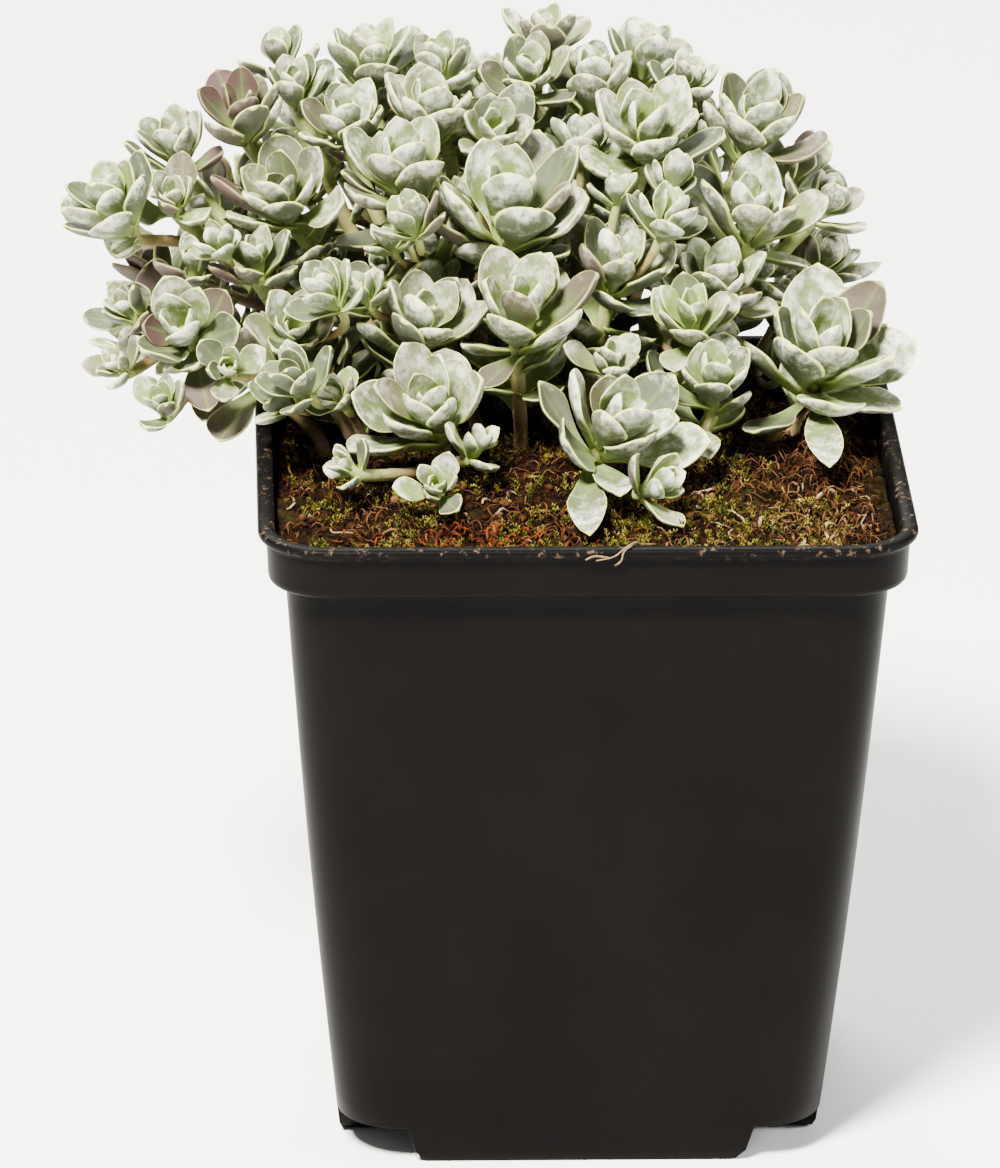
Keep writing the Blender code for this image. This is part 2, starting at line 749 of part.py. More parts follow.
@dataclass
class Blade:
    """One leaf: where it starts, which way it goes, how it curls, and its size."""

    start: Vector
    along: Vector
    face: Vector
    length: float
    half_width: float
    thick: float
    curl: float
    short: bool

    def middle(self, part):
        """Return the point, direction and upper-side direction at a part of the length."""
        turn = self.curl * part
        if abs(self.curl) < 1e-4:
            point = self.start + self.along * (self.length * part)
            return point, self.along, self.face
        run = math.sin(turn) / self.curl
        rise = (1.0 - math.cos(turn)) / self.curl
        point = self.start + (self.along * run + self.face * rise) * self.length
        along = self.along * math.cos(turn) + self.face * math.sin(turn)
        face = self.face * math.cos(turn) - self.along * math.sin(turn)
        return point, along, face

    def sections(self, margin=0.0):
        """Return the four-cornered sections outward from the root, and the tip."""
        side = self.along.cross(self.face)
        rings = []
        for part, wide, deep in SHORT_STATIONS if self.short else LONG_STATIONS:
            point, along, face = self.middle(part)
            half = self.half_width * wide
            top = face * (0.35 * self.thick * deep + margin)
            low = face * (-0.65 * self.thick * deep - margin)
            narrow = side * (KEEL * half + margin)
            broad = side * (half + margin)
            rings.append((point + low + narrow, point + low - narrow,
                          point + top - broad, point + top + broad))
        tip, along, face = self.middle(1.0)
        return rings, tip + along * margin

    def solid(self, margin=0.0):
        """Return the blade alone as a closed solid that starts a little off its root."""
        side = self.along.cross(self.face)
        point, along, face = self.middle(0.14)
        half = side * (0.32 * self.half_width + margin)
        thick = face * (0.3 * self.thick + margin)
        rings, tip = self.sections(margin)
        rings = [(point - thick + half, point - thick - half,
                  point + thick - half, point + thick + half)] + rings
        points = [corner for ring in rings for corner in ring] + [tip]
        faces = [(3, 2, 1, 0)]
        for ring in range(len(rings) - 1):
            faces.extend(band_faces(ring * 4, ring * 4 + 4, 4))
        last = 4 * (len(rings) - 1)
        for step in range(4):
            faces.append((last + step, last + (step + 1) % 4, last + 4))
        return points, faces


def band_faces(low, high, count):
    """Return the quads between two rings of points."""
    return [(low + step, low + (step + 1) % count, high + (step + 1) % count, high + step)
            for step in range(count)]


class Shoot:
    """One stem with its rings of points, and the quads of its surface that leaves grow from."""

    def __init__(self, name, order, path, head, fixed, collars):
        self.name = name
        self.collars = collars
        self.order = order
        self.head = head
        self.whorl = 4 if head.leaves >= 10 else 3
        self.levels = 2 if head.leaves <= 6 else 3
        self.sides = 2 * self.whorl
        self.points = []
        self.centres = []
        self.sprouts = {}
        self.bands = {}
        self.rings = self.plan(path, fixed)
        self.lay_rings()

    def plan(self, path, fixed):
        """Return the rings: centre, direction, radius and lobing, and note the leaf bands."""
        head = self.head
        size = head.size
        radius = STEM_RADIUS if self.order == 0 else 0.85
        core = max(0.135 * size, 1.06 * radius)
        rings = [(path[0], None, radius, 0.0)]
        rest = path[fixed - 1:]
        if fixed == 2:
            rings.append((path[1], None, radius, 0.0))
        spans = [(high - low).length for low, high in zip(rest, rest[1:])]
        total = sum(spans)
        stops = []
        if self.order == 0 and total > 7.0:
            stops = [0.52]
        marks = [(sum(spans[:spot]) / total, "path") for spot in range(1, len(rest) - 1)]
        for number, stop in enumerate(stops):
            marks.append((stop, "node%d" % number))
        marks = sorted(mark for mark in marks if mark[1] != "path"
                       or all(abs(mark[0] - stop) * total > 3.0 for stop in stops))
        for stop, kind in marks:
            if kind == "path":
                rings.append((along_line(rest, stop), None, radius, 0.0))
                continue
            for shift in (-0.6, 0.6):
                rings.append((along_line(rest, stop + shift / total), None, radius, 0.0))
            self.bands[kind] = len(rings) - 2
        for below in range(self.collars, 0, -1):
            start = head.base - head.axis * (below * max(0.9, 0.10 * size))
            rings.append((start, head.axis, radius, 0.0))
            self.bands["collar%d" % below] = len(rings) - 1
        step = max(0.78, 0.11 * size)
        for level in range(self.levels + 1):
            if level:
                self.bands["level%d" % (level - 1)] = len(rings) - 1
            rings.append((head.base + head.axis * (step * level), head.axis,
                          core * (1.0 - 0.04 * level), 0.0))
        top = step * self.levels
        rings.append((head.base + head.axis * (top + 0.16 * size), head.axis, 0.17 * size, 0.22))
        self.tip = head.base + head.axis * max(top + 0.34 * size, 0.84 * size)
        return rings

    def lay_rings(self):
        """Place the points of every ring, each turned as little as possible from the last."""
        across = Vector((1.0, 0.0, 0.0))
        twist = self.head.turn
        for spot, (centre, axis, radius, lobe) in enumerate(self.rings):
            if axis is None:
                ahead = self.rings[min(spot + 1, len(self.rings) - 1)][0]
                behind = self.rings[max(spot - 1, 0)][0]
                axis = (ahead - behind).normalized()
                if spot < 2 and self.order == 0:
                    axis = Vector((0.0, 0.0, 1.0))
            across = (across - axis * across.dot(axis)).normalized()
            up = axis.cross(across)
            for step in range(self.sides):
                angle = twist + 2.0 * math.pi * step / self.sides
                reach = radius * (1.0 + lobe * (-1.0) ** step)
                self.points.append(centre + (across * math.cos(angle) + up * math.sin(angle))
                                   * reach)
            self.centres.append((centre, axis))
        self.points.append(self.tip)

    def quad(self, band, column):
        """Return the corner indices of one quad of a band."""
        low = band * self.sides
        high = low + self.sides
        after = (column + 1) % self.sides
        return (low + column, low + after, high + after, high + column)

    def root(self, band, column):
        """Return the middle of a quad and the outward direction there."""
        corners = [self.points[corner] for corner in self.quad(band, column)]
        middle = sum(corners, Vector()) / 4.0
        centre, axis = self.centres[band]
        radial = middle - centre
        radial = (radial - axis * radial.dot(axis)).normalized()
        return middle, radial, axis

    def body(self):
        """Return the bare stem and heart as a closed solid."""
        faces = [tuple(reversed(range(self.sides)))]
        for band in range(len(self.rings) - 1):
            faces.extend(band_faces(band * self.sides, (band + 1) * self.sides, self.sides))
        faces.extend(self.peak())
        return self.points, faces

    def peak(self):
        """Return the faces that close the heart to its point."""
        last = (len(self.rings) - 1) * self.sides
        return [(last + step, last + (step + 1) % self.sides, last + self.sides)
                for step in range(self.sides)]

    def leafy(self):
        """Return the stem with every leaf grown out of its own quad, as one closed solid."""
        points = list(self.points)
        faces = [tuple(reversed(range(self.sides)))]
        for band in range(len(self.rings) - 1):
            for column in range(self.sides):
                corners = self.quad(band, column)
                blade = self.sprouts.get((band, column))
                if blade is None:
                    faces.append(corners)
                    continue
                rings, tip = blade.sections()
                low = list(corners)
                for ring in rings:
                    high = list(range(len(points), len(points) + 4))
                    points.extend(ring)
                    for step in range(4):
                        after = (step + 1) % 4
                        faces.append((low[step], low[after], high[after], high[step]))
                    low = high
                points.append(tip)
                for step in range(4):
                    faces.append((low[step], low[(step + 1) % 4], len(points) - 1))
        faces.extend(self.peak())
        return points, faces

    def free_column(self, band, direction):
        """Return the free column of a band that faces a direction best, or None."""
        best = None
        for column in range(self.sides):
            around = ((column - 1) % self.sides, column, (column + 1) % self.sides)
            if any((band, near) in self.sprouts for near in around):
                continue
            middle, radial, axis = self.root(band, column)
            score = radial.dot(direction)
            if best is None or score > best[0]:
                best = (score, column)
        return None if best is None else best[1]


def along_line(line, part):
    """Return the point at a part of the length of a broken line."""
    spans = [(high - low).length for low, high in zip(line, line[1:])]
    left = part * sum(spans)
    for low, high, span in zip(line, line[1:], spans):
        if left <= span:
            return low + (high - low) * (left / span)
        left -= span
    return line[-1].copy()


def rosette_blade(shoot, level, column, closing, turning, shrink, draw):
    """Return one leaf of a rosette; the lowest level is the outermost and opens widest."""
    head = shoot.head
    size = head.size
    age = 1.0 - level / max(1, shoot.levels - 1) * 0.78
    middle, radial, axis = shoot.root(shoot.bands["level%d" % level], column)
    across = axis.cross(radial)
    opening = math.radians(10.0 + 52.0 * age + 12.0 * (draw[0] - 0.5) - closing)
    turn = math.radians(turning + 10.0 * (draw[1] - 0.5))
    radial = radial * math.cos(turn) + across * math.sin(turn)
    along = axis * math.cos(opening) + radial * math.sin(opening)
    face = axis * math.sin(opening) - radial * math.cos(opening)
    length = size * (1.02 + 0.28 * age) * (0.90 + 0.18 * draw[2]) * shrink
    half = size * (0.25 + 0.15 * age) * (0.45 + 0.55 * shrink)
    thick = max(0.95, 0.12 * size)
    curl = math.radians(8.0 + 10.0 * age)
    short = size < 8.0 or level > 0
    return Blade(middle, along, face, length, half, thick, curl, short)


def aimed_blade(start, tip, axis, half_width, bend):
    """Return an older leaf that runs from its root to a tip, a little arched."""
    along = (tip - start).normalized()
    face = Vector((0.0, 0.0, 1.0)) - along * along.z
    if face.length < 0.35:
        face = axis - along * along.dot(axis)
    face.normalize()
    length = (tip - start).length
    curl = math.radians(bend)
    chord = math.sin(curl / 2.0) / (curl / 2.0)
    turned = along * math.cos(curl / 2.0) - face * math.sin(curl / 2.0)
    lifted = face * math.cos(curl / 2.0) + along * math.sin(curl / 2.0)
    return Blade(start, turned, lifted, length / chord, half_width,
                 max(1.0, 0.28 * half_width), curl, False)


class Crowd:
    """What is already in place, to test whether a new piece would cross another one."""

    def __init__(self):
        self.items = []

    def add(self, name, order, points, faces):
        """Keep a placed piece with its box."""
        coords = np.array([tuple(point) for point in points])
        tree = BVHTree.FromPolygons([tuple(point) for point in points], faces)
        self.items.append(((name, order), tree, coords.min(axis=0), coords.max(axis=0)))

    def crosses(self, name, order, points, faces):
        """Return the owners, other than the given one, of what the piece crosses."""
        coords = np.array([tuple(point) for point in points])
        low = coords.min(axis=0)
        high = coords.max(axis=0)
        tree = None
        found = []
        for owner, placed, other_low, other_high in self.items:
            if owner == (name, order) or (low > other_high).any() or (high < other_low).any():
                continue
            if tree is None:
                tree = BVHTree.FromPolygons([tuple(point) for point in points], faces)
            if tree.overlap(placed):
                found.append(owner)
        return found


def clear_of_ground(points):
    """Return whether every point is over the soil inside the pot, and clear of the lip outside."""
    for point in points:
        reach = max(abs(point.x), abs(point.y))
        if reach < 42.0 and point.z < soil_height(point.x, point.y) + GAP + 0.2:
            return False
        if 41.5 <= reach <= 45.6 and 86.0 < point.z < POT_HEIGHT + GAP:
            return False
        if reach < 41.5 and point.z < 88.0:
            return False
        if reach > 45.6 and point.z < 84.0:
            return False
    return True


TRIES = (
    (0.0, 0.0, 1.0), (8.0, 0.0, 1.0), (0.0, 12.0, 1.0), (0.0, -12.0, 1.0), (-8.0, 0.0, 1.0),
    (16.0, 0.0, 1.0), (8.0, 20.0, 0.96), (8.0, -20.0, 0.96), (-14.0, 0.0, 0.94),
    (24.0, 0.0, 0.94), (14.0, 0.0, 0.86), (6.0, 22.0, 0.86), (6.0, -22.0, 0.86),
    (-14.0, 14.0, 0.86), (-14.0, -14.0, 0.86), (26.0, 0.0, 0.80), (20.0, 16.0, 0.78),
    (20.0, -16.0, 0.78), (8.0, 0.0, 0.70), (-10.0, 0.0, 0.66), (24.0, 0.0, 0.62),
    (20.0, 24.0, 0.58), (20.0, -24.0, 0.58),
)


def fits(crowd, shoot, blade, own):
    """Return whether a leaf is clear of the soil, the pot, the other pieces and its own head."""
    points, faces = blade.solid(GAP)
    if not clear_of_ground(points):
        return False
    if crowd.crosses(shoot.name, shoot.order, points, faces):
        return False
    points, faces = blade.solid(0.08)
    return not own.crosses("", 0, points, faces)


def add_leaf(crowd, shoot, own, band, column, blade):
    """Keep a leaf on its quad and among what is already in place."""
    shoot.sprouts[(band, column)] = blade
    points, faces = blade.solid()
    crowd.add(shoot.name, shoot.order, points, faces)
    own.add("own", 0, points, faces)


def grow_rosettes(shoots, crowd, owns):
    """Place the leaves of every rosette, the young ones first, clear of each other."""
    missed = 0
    for step in range(3):
        for number, shoot in enumerate(shoots):
            level = shoot.levels - 1 - step
            if level < 0:
                continue
            band = shoot.bands["level%d" % level]
            for count in range(shoot.whorl):
                column = (2 * count + level) % shoot.sides
                seed = random.Random(1000 * number + 10 * level + count)
                draw = (seed.random(), seed.random(), seed.random())
                for closing, turning, shrink in TRIES:
                    blade = rosette_blade(shoot, level, column, closing, turning, shrink, draw)
                    if fits(crowd, shoot, blade, owns[number]):
                        add_leaf(crowd, shoot, owns[number], band, column, blade)
                        break
                else:
                    missed += 1
    return missed


def grow_strays(shoots, grown, crowd, owns):
    """Place the older leaves whose tips are seen, each on the nearest band of its stem."""
    missed = 0
    for name, heads, strays in grown:
        for stray in strays:
            number = next(spot for spot, shoot in enumerate(shoots)
                          if shoot.name == name and shoot.order == stray.head)
            shoot = shoots[number]
            tip = seen_point(stray.across, stray.down, stray.deep)
            nodes = [band for kind, band in shoot.bands.items() if kind.startswith("node")]
            bands = [band for kind, band in sorted(shoot.bands.items())
                     if kind.startswith("collar")]
            bands = nodes[::-1] + bands if stray.along < 0.8 else bands + nodes[::-1]
            if not place_stray(shoot, crowd, owns[number], bands, tip, stray.half_width):
                missed += 1
                print("left out", name, stray)
    return missed


def place_stray(shoot, crowd, own, bands, tip, half_width):
    """Place one aimed leaf on the first band that lets it through."""
    for band in bands:
        centre, axis = shoot.centres[band]
        direction = tip - centre
        direction = (direction - axis * direction.dot(axis)).normalized()
        column = shoot.free_column(band, direction)
        if column is None:
            continue
        middle, radial, axis = shoot.root(band, column)
        if radial.dot(direction) < 0.3:
            continue
        for shrink in (1.0, 0.88, 0.76, 0.62):
            for shift, lift in ((0.0, 0.0), (0.0, 1.2), (0.0, -1.2), (1.6, 0.6), (-1.6, 0.6),
                                (0.0, 2.4), (3.0, 1.0), (-3.0, 1.0), (0.0, 3.6), (0.0, -2.4)):
                end = middle + (tip + Vector((shift, 0.0, lift)) - middle) * shrink
                bend = 16.0 if end.z > middle.z + 2.0 else -14.0
                blade = aimed_blade(middle, end, axis, half_width * (0.4 + 0.6 * shrink), bend)
                if fits(crowd, shoot, blade, own):
                    add_leaf(crowd, shoot, own, band, column, blade)
                    return True
    return False


def grow_old_leaves(shoots, crowd, owns):
    """Place older leaves down the bare stems wherever there is still room for one."""
    placed = 0
    for number, shoot in enumerate(shoots):
        bands = [band for kind, band in sorted(shoot.bands.items()) if kind.startswith("node")]
        for order, band in enumerate(bands):
            seed = random.Random(7000 + 10 * number + order)
            centre, axis = shoot.centres[band]
            for turn in range(2):
                angle = seed.random() * 2.0 * math.pi
                direction = Vector((math.cos(angle), math.sin(angle), 0.0))
                column = shoot.free_column(band, direction)
                if column is None:
                    continue
                middle, radial, axis = shoot.root(band, column)
                for length in (9.5, 8.0, 6.5):
                    rise = 0.25 + 0.3 * seed.random()
                    end = middle + (radial + Vector((0.0, 0.0, rise))).normalized() * length
                    blade = aimed_blade(middle, end, axis, 0.33 * length, 20.0)
                    blade.short = True
                    if fits(crowd, shoot, blade, owns[number]):
                        add_leaf(crowd, shoot, owns[number], band, column, blade)
                        placed += 1
                        break
    return placed


def clip_face(corners, flat, used):
    """Cut one flat face into triangles, never along a line that another face already uses."""
    loop = list(corners)
    triangles = []
    while len(loop) > 3:
        best = None
        for spot in range(len(loop)):
            before = loop[spot - 1]
            here = loop[spot]
            after = loop[(spot + 1) % len(loop)]
            if (min(before, after), max(before, after)) in used:
                continue
            first = flat[here] - flat[before]
            second = flat[after] - flat[here]
            third = flat[before] - flat[after]
            area = first[0] * second[1] - first[1] * second[0]
            if area <= 1e-7:
                continue
            if any(inside_triangle(flat[other], flat[before], flat[here], flat[after])
                   for other in loop if other not in (before, here, after)):
                continue
            longest = max(first @ first, second @ second, third @ third)
            quality = area / longest
            if best is None or quality > best[0]:
                best = (quality, spot, before, here, after)
        if best is None:
            return None
        quality, spot, before, here, after = best
        triangles.append((before, here, after))
        used.add((min(before, after), max(before, after)))
        loop.pop(spot)
    triangles.append(tuple(loop))
    return triangles


def inside_triangle(point, first, second, third):
    """Return whether a flat point is inside or on a triangle that turns left."""
    for low, high in ((first, second), (second, third), (third, first)):
        edge = high - low
        reach = point - low
        if edge[0] * reach[1] - edge[1] * reach[0] < -1e-9:
            return False
    return True


def cut_faces(mesh):
    """Return the triangles of a mesh, with a count of the faces that could not be cut well."""
    used = {(min(edge.vertices), max(edge.vertices)) for edge in mesh.edges}
    coords = [np.array(vert.co, dtype=float) for vert in mesh.vertices]
    triangles = []
    bad = 0
    for face in sorted(mesh.polygons, key=lambda item: len(item.vertices)):
        corners = list(face.vertices)
        if len(corners) == 3:
            triangles.append(tuple(corners))
            continue
        normal = np.zeros(3)
        for here, after in zip(corners, corners[1:] + corners[:1]):
            normal += np.cross(coords[here], coords[after])
        normal /= np.linalg.norm(normal) + 1e-12
        axis = np.array((1.0, 0.0, 0.0)) if abs(normal[0]) < 0.7 else np.array((0.0, 1.0, 0.0))
        right = np.cross(axis, normal)
        right /= np.linalg.norm(right)
        up = np.cross(normal, right)
        flat = {corner: np.array((coords[corner] @ right, coords[corner] @ up))
                for corner in corners}
        cut = clip_face(corners, flat, used)
        if cut is None:
            bad += 1
            cut = [(corners[0], corners[step], corners[step + 1])
                   for step in range(1, len(corners) - 1)]
        triangles.extend(cut)
    return coords, triangles, bad


def close_short_edges(coords, triangles, reach):
    """Merge the ends of edges shorter than the reach where the skin stays closed and unfolded."""
    around = {}
    for number, triangle in enumerate(triangles):
        for corner in triangle:
            around.setdefault(corner, set()).add(number)
    live = {number: triangle for number, triangle in enumerate(triangles)}
    edges = set()
    for triangle in triangles:
        for low, high in zip(triangle, triangle[1:] + triangle[:1]):
            edges.add((min(low, high), max(low, high)))
    lengths = sorted((float(np.linalg.norm(coords[low] - coords[high])), low, high)
                     for low, high in edges)
    for length, keep, drop in lengths:
        if length >= reach:
            break
        for kept, gone in ((keep, drop), (drop, keep)):
            if kept not in around or gone not in around:
                break
            shared = around[kept] & around[gone]
            near_kept = {corner for number in around[kept] for corner in live[number]}
            near_gone = {corner for number in around[gone] for corner in live[number]}
            if len(shared) != 2 or len((near_kept & near_gone) - {kept, gone}) != 2:
                continue
            moved = []
            folded = False
            for number in around[gone] - shared:
                old = live[number]
                new = tuple(kept if corner == gone else corner for corner in old)
                before = np.cross(coords[old[1]] - coords[old[0]], coords[old[2]] - coords[old[0]])
                after = np.cross(coords[new[1]] - coords[new[0]], coords[new[2]] - coords[new[0]])
                size = np.linalg.norm(before) * np.linalg.norm(after)
                if np.linalg.norm(after) < 1e-6 or before @ after < 0.94 * size:
                    if np.linalg.norm(before) > 1e-4 or np.linalg.norm(after) < 1e-6:
                        folded = True
                        break
                moved.append((number, new))
            if folded:
                continue
            for number in shared:
                for corner in live[number]:
                    around[corner].discard(number)
                del live[number]
            for number, new in moved:
                live[number] = new
                around[kept].add(number)
            del around[gone]
            break
    return list(live.values())


def largest_skin(triangles):
    """Return the triangles of the largest connected skin and the number of skins."""
    parent = {}

    def find(corner):
        while parent[corner] != corner:
            parent[corner] = parent[parent[corner]]
            corner = parent[corner]
        return corner

    for triangle in triangles:
        for corner in triangle:
            parent.setdefault(corner, corner)
        for corner in triangle[1:]:
            parent[find(corner)] = find(triangle[0])
    skins = {}
    for triangle in triangles:
        skins.setdefault(find(triangle[0]), []).append(triangle)
    ranked = sorted(skins.values(), key=len, reverse=True)
    return ranked[0], [len(skin) for skin in ranked]


def keep_outer(item):
    """Cut a fused piece into clean triangles and keep only its outer skin."""
    coords, triangles, bad = cut_faces(item.data)
    triangles = close_short_edges(coords, triangles, 0.06)
    triangles, skins = largest_skin(triangles)
    order = {}
    for triangle in triangles:
        for corner in triangle:
            order.setdefault(corner, len(order))
    mesh = bpy.data.meshes.new(item.name)
    points = [tuple(coords[corner]) for corner in order]
    mesh.from_pydata(points, [], [tuple(order[corner] for corner in triangle)
                                  for triangle in triangles])
    old = item.data
    item.data = mesh
    bpy.data.meshes.remove(old)
    uses = {}
    for triangle in triangles:
        for low, high in zip(triangle, triangle[1:] + triangle[:1]):
            uses[(low, high)] = uses.get((low, high), 0) + 1
    faults = sum(1 for (low, high), count in uses.items()
                 if count != 1 or uses.get((high, low), 0) != 1)
    shortest = min(float(np.linalg.norm(coords[low] - coords[high])) for low, high in uses)
    if bad or faults or len(skins) > 1 or shortest < 0.003:
        print(item.name, "uncut", bad, "faults", faults, "skins", skins, "shortest", shortest)
    return bad == 0 and faults == 0


def build_stem(name, shoots):
    """Build the shoots of one stem and fuse the side shoots into the main one."""
    pieces = []
    for number, shoot in enumerate(shoots):
        shell = Shell()
        shell.points, shell.faces = shoot.leafy()
        pieces.append(shell.build("%s_shoot_%d" % (name, number)))
    first = pieces[0]
    if len(pieces) > 1:
        apply_boolean(first, pieces[1:], "UNION", "MANIFOLD")
        keep_outer(first)
    first.name = name
    first.data.name = name
    return first


def finish(items):
    """Scale every piece to metres and leave it with plain normals."""
    for item in items:
        item.data.transform(((MM, 0, 0, 0), (0, MM, 0, 0), (0, 0, MM, 0), (0, 0, 0, 1)))
        item.data.update()


def main():
    """Build the pot, the soil and every stem."""
    clear_scene()
    pot = build_pot()
    grown = place_heads()
    roots = root_places(grown)
    soil = build_soil(roots)
    paths = stem_paths(grown, roots)
    relax_paths(paths)
    thin_paths(paths)
    old = [(name, stray.head) for name, heads, strays in grown for stray in strays]
    shoots = [Shoot(*entry, min(2, old.count((entry[0], entry[1])))) for entry in paths]
    crowd = Crowd()
    owns = []
    for shoot in shoots:
        points, faces = shoot.body()
        hits = [owner for owner in crowd.crosses(shoot.name, shoot.order, points, faces)
                if owner[0] != shoot.name]
        if hits:
            print("stems cross", shoot.name, shoot.order, hits)
        crowd.add(shoot.name, shoot.order, points, faces)
        own = Crowd()
        own.add("own", 0, points, faces)
        owns.append(own)
    missed = grow_strays(shoots, grown, crowd, owns)
    missed += grow_rosettes(shoots, crowd, owns)
    old = grow_old_leaves(shoots, crowd, owns)
    print("leaves", sum(len(shoot.sprouts) for shoot in shoots), "old", old, "left out", missed)
    items = [pot, soil]
    for name, heads, strays in grown:
        items.append(build_stem(name, [shoot for shoot in shoots if shoot.name == name]))
    finish(items)
    print("triangles", [len(item.data.polygons) for item in items[:2]],
          sum(len(item.data.polygons) for item in items[2:]))


main()
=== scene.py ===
"""Looks of the potted sedum: fine leaves, stems, moulded pot, peat, moss and a plain studio.

The leafy stems repeat the growth rules of the solids, so each fine leaf lies along the same
mid-line as the solid leaf that it stands for.  Growth is worked out in millimetres and meshes
are written in metres.
"""
import logging
import math
import random
from dataclasses import dataclass, field
from enum import Enum

import bmesh
import bpy
import numpy as np
from mathutils import Matrix, Vector, noise
from mathutils.bvhtree import BVHTree


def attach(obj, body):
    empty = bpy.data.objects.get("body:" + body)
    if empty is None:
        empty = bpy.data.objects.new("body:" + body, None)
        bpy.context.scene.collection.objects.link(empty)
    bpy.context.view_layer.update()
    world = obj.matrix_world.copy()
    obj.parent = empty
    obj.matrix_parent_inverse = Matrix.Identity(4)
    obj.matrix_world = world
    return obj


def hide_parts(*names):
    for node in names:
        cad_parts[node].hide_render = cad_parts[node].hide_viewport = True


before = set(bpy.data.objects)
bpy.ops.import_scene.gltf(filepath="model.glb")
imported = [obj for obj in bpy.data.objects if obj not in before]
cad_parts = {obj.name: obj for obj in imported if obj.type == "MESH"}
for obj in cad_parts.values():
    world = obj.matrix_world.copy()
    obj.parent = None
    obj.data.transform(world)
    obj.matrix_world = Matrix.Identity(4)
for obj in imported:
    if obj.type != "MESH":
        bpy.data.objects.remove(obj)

LOG = logging.getLogger("sedum")
MM = 0.001
QUARTER = 0.5 * math.pi
UP = Vector((0.0, 0.0, 1.0))

# The pot and the soil of the solids.
GAP = 0.3
POT_HEIGHT = 95.0
BODY_HALF_BOTTOM = 33.4
BODY_HALF_TOP = 41.2
BODY_BULGE = 0.45
BODY_TOP_Z = 86.8
WALL = 1.05
FOOT_HEIGHT = 5.1
FOOT_HALF_TOP = 24.2
FOOT_HALF_BOTTOM = 21.7
FLOOR = 1.1
LEDGE_Z = 87.4
RIM_INNER_HALF = 42.6
SOIL_TOP = 92.4
SOIL_DIP = 2.4

# The stems and leaves of the solids: sizes, clearances and limits.
STEM_DEPTH = 7.0
STEM_RADIUS = 1.05
BRANCH_RADIUS = 0.85
LONG_STATIONS = ((0.36, 0.46, 0.75), (0.70, 1.0, 1.0), (0.91, 0.74, 0.8))
SHORT_STATIONS = ((0.52, 0.90, 1.0), (0.86, 0.84, 0.85))
KEEL = 0.5
HEART_RISE = 0.72
NODE_PART = 0.52
OWN_GAP = 0.08
FAN_CENTRE = (-6.0, 12.0)
FAR_LEAN = (70.0, 60.0)
FAR_TURN = 47.0
ROOT_SPACING = 6.2
ROOT_LIMIT = 35.5
STEM_SPACING = 3.3
OVER_SOIL = 1.6
OVER_LIP = 1.8
LIP_NEAR_HALF = 39.5
LIP_INNER_HALF = 41.5
LIP_OUTER_HALF = 45.6
LONG_STEM = 22.0
BROAD_HEAD = 8.0

# The photograph's view: angles, distance in millimetres, and pixels.
VIEW_AZIMUTH = math.radians(-2.54)
VIEW_ELEVATION = math.radians(21.5)
VIEW_ROLL = math.radians(0.47)
VIEW_DISTANCE = 1300.0
VIEW_FOCAL = 9197.0
VIEW_CENTRE = (500.0, 584.0)
VIEW_WIDTH = 1000.0
VIEW_AIM = Vector((-10.75, 0.0, 73.49))
VIEW_PIVOT = Vector((0.0, 0.0, 47.0))
SENSOR_WIDTH = 36.0

Point = tuple[float, float, float]
Face = tuple[int, ...]
Solid = tuple[list[Vector], list[Face]]
Grown = tuple[str, list["Growth"], tuple["Stray", ...]]


class Slot(Enum):
    """Which finish a face of a leafy piece takes."""

    LEAF = 0
    STEM = 1


@dataclass(frozen=True)
class Head:
    """One rosette: where its heart is seen, how far back it is, its leaf length and its lean."""

    across: float
    down: float
    deep: float
    size: float
    lean: tuple[float, float]
    leaves: int = 7
    turn: float = 0.0


@dataclass(frozen=True)
class Stray:
    """One older leaf: where its tip is seen, how far back it is, and where it leaves the stem."""

    across: float
    down: float
    deep: float
    along: float
    half_width: float
    head: int = 0


@dataclass(frozen=True)
class Stem:
    """One leafy stem that stands in the soil, with the heads it carries."""

    name: str
    heads: tuple[Head, ...]
    strays: tuple[Stray, ...] = ()


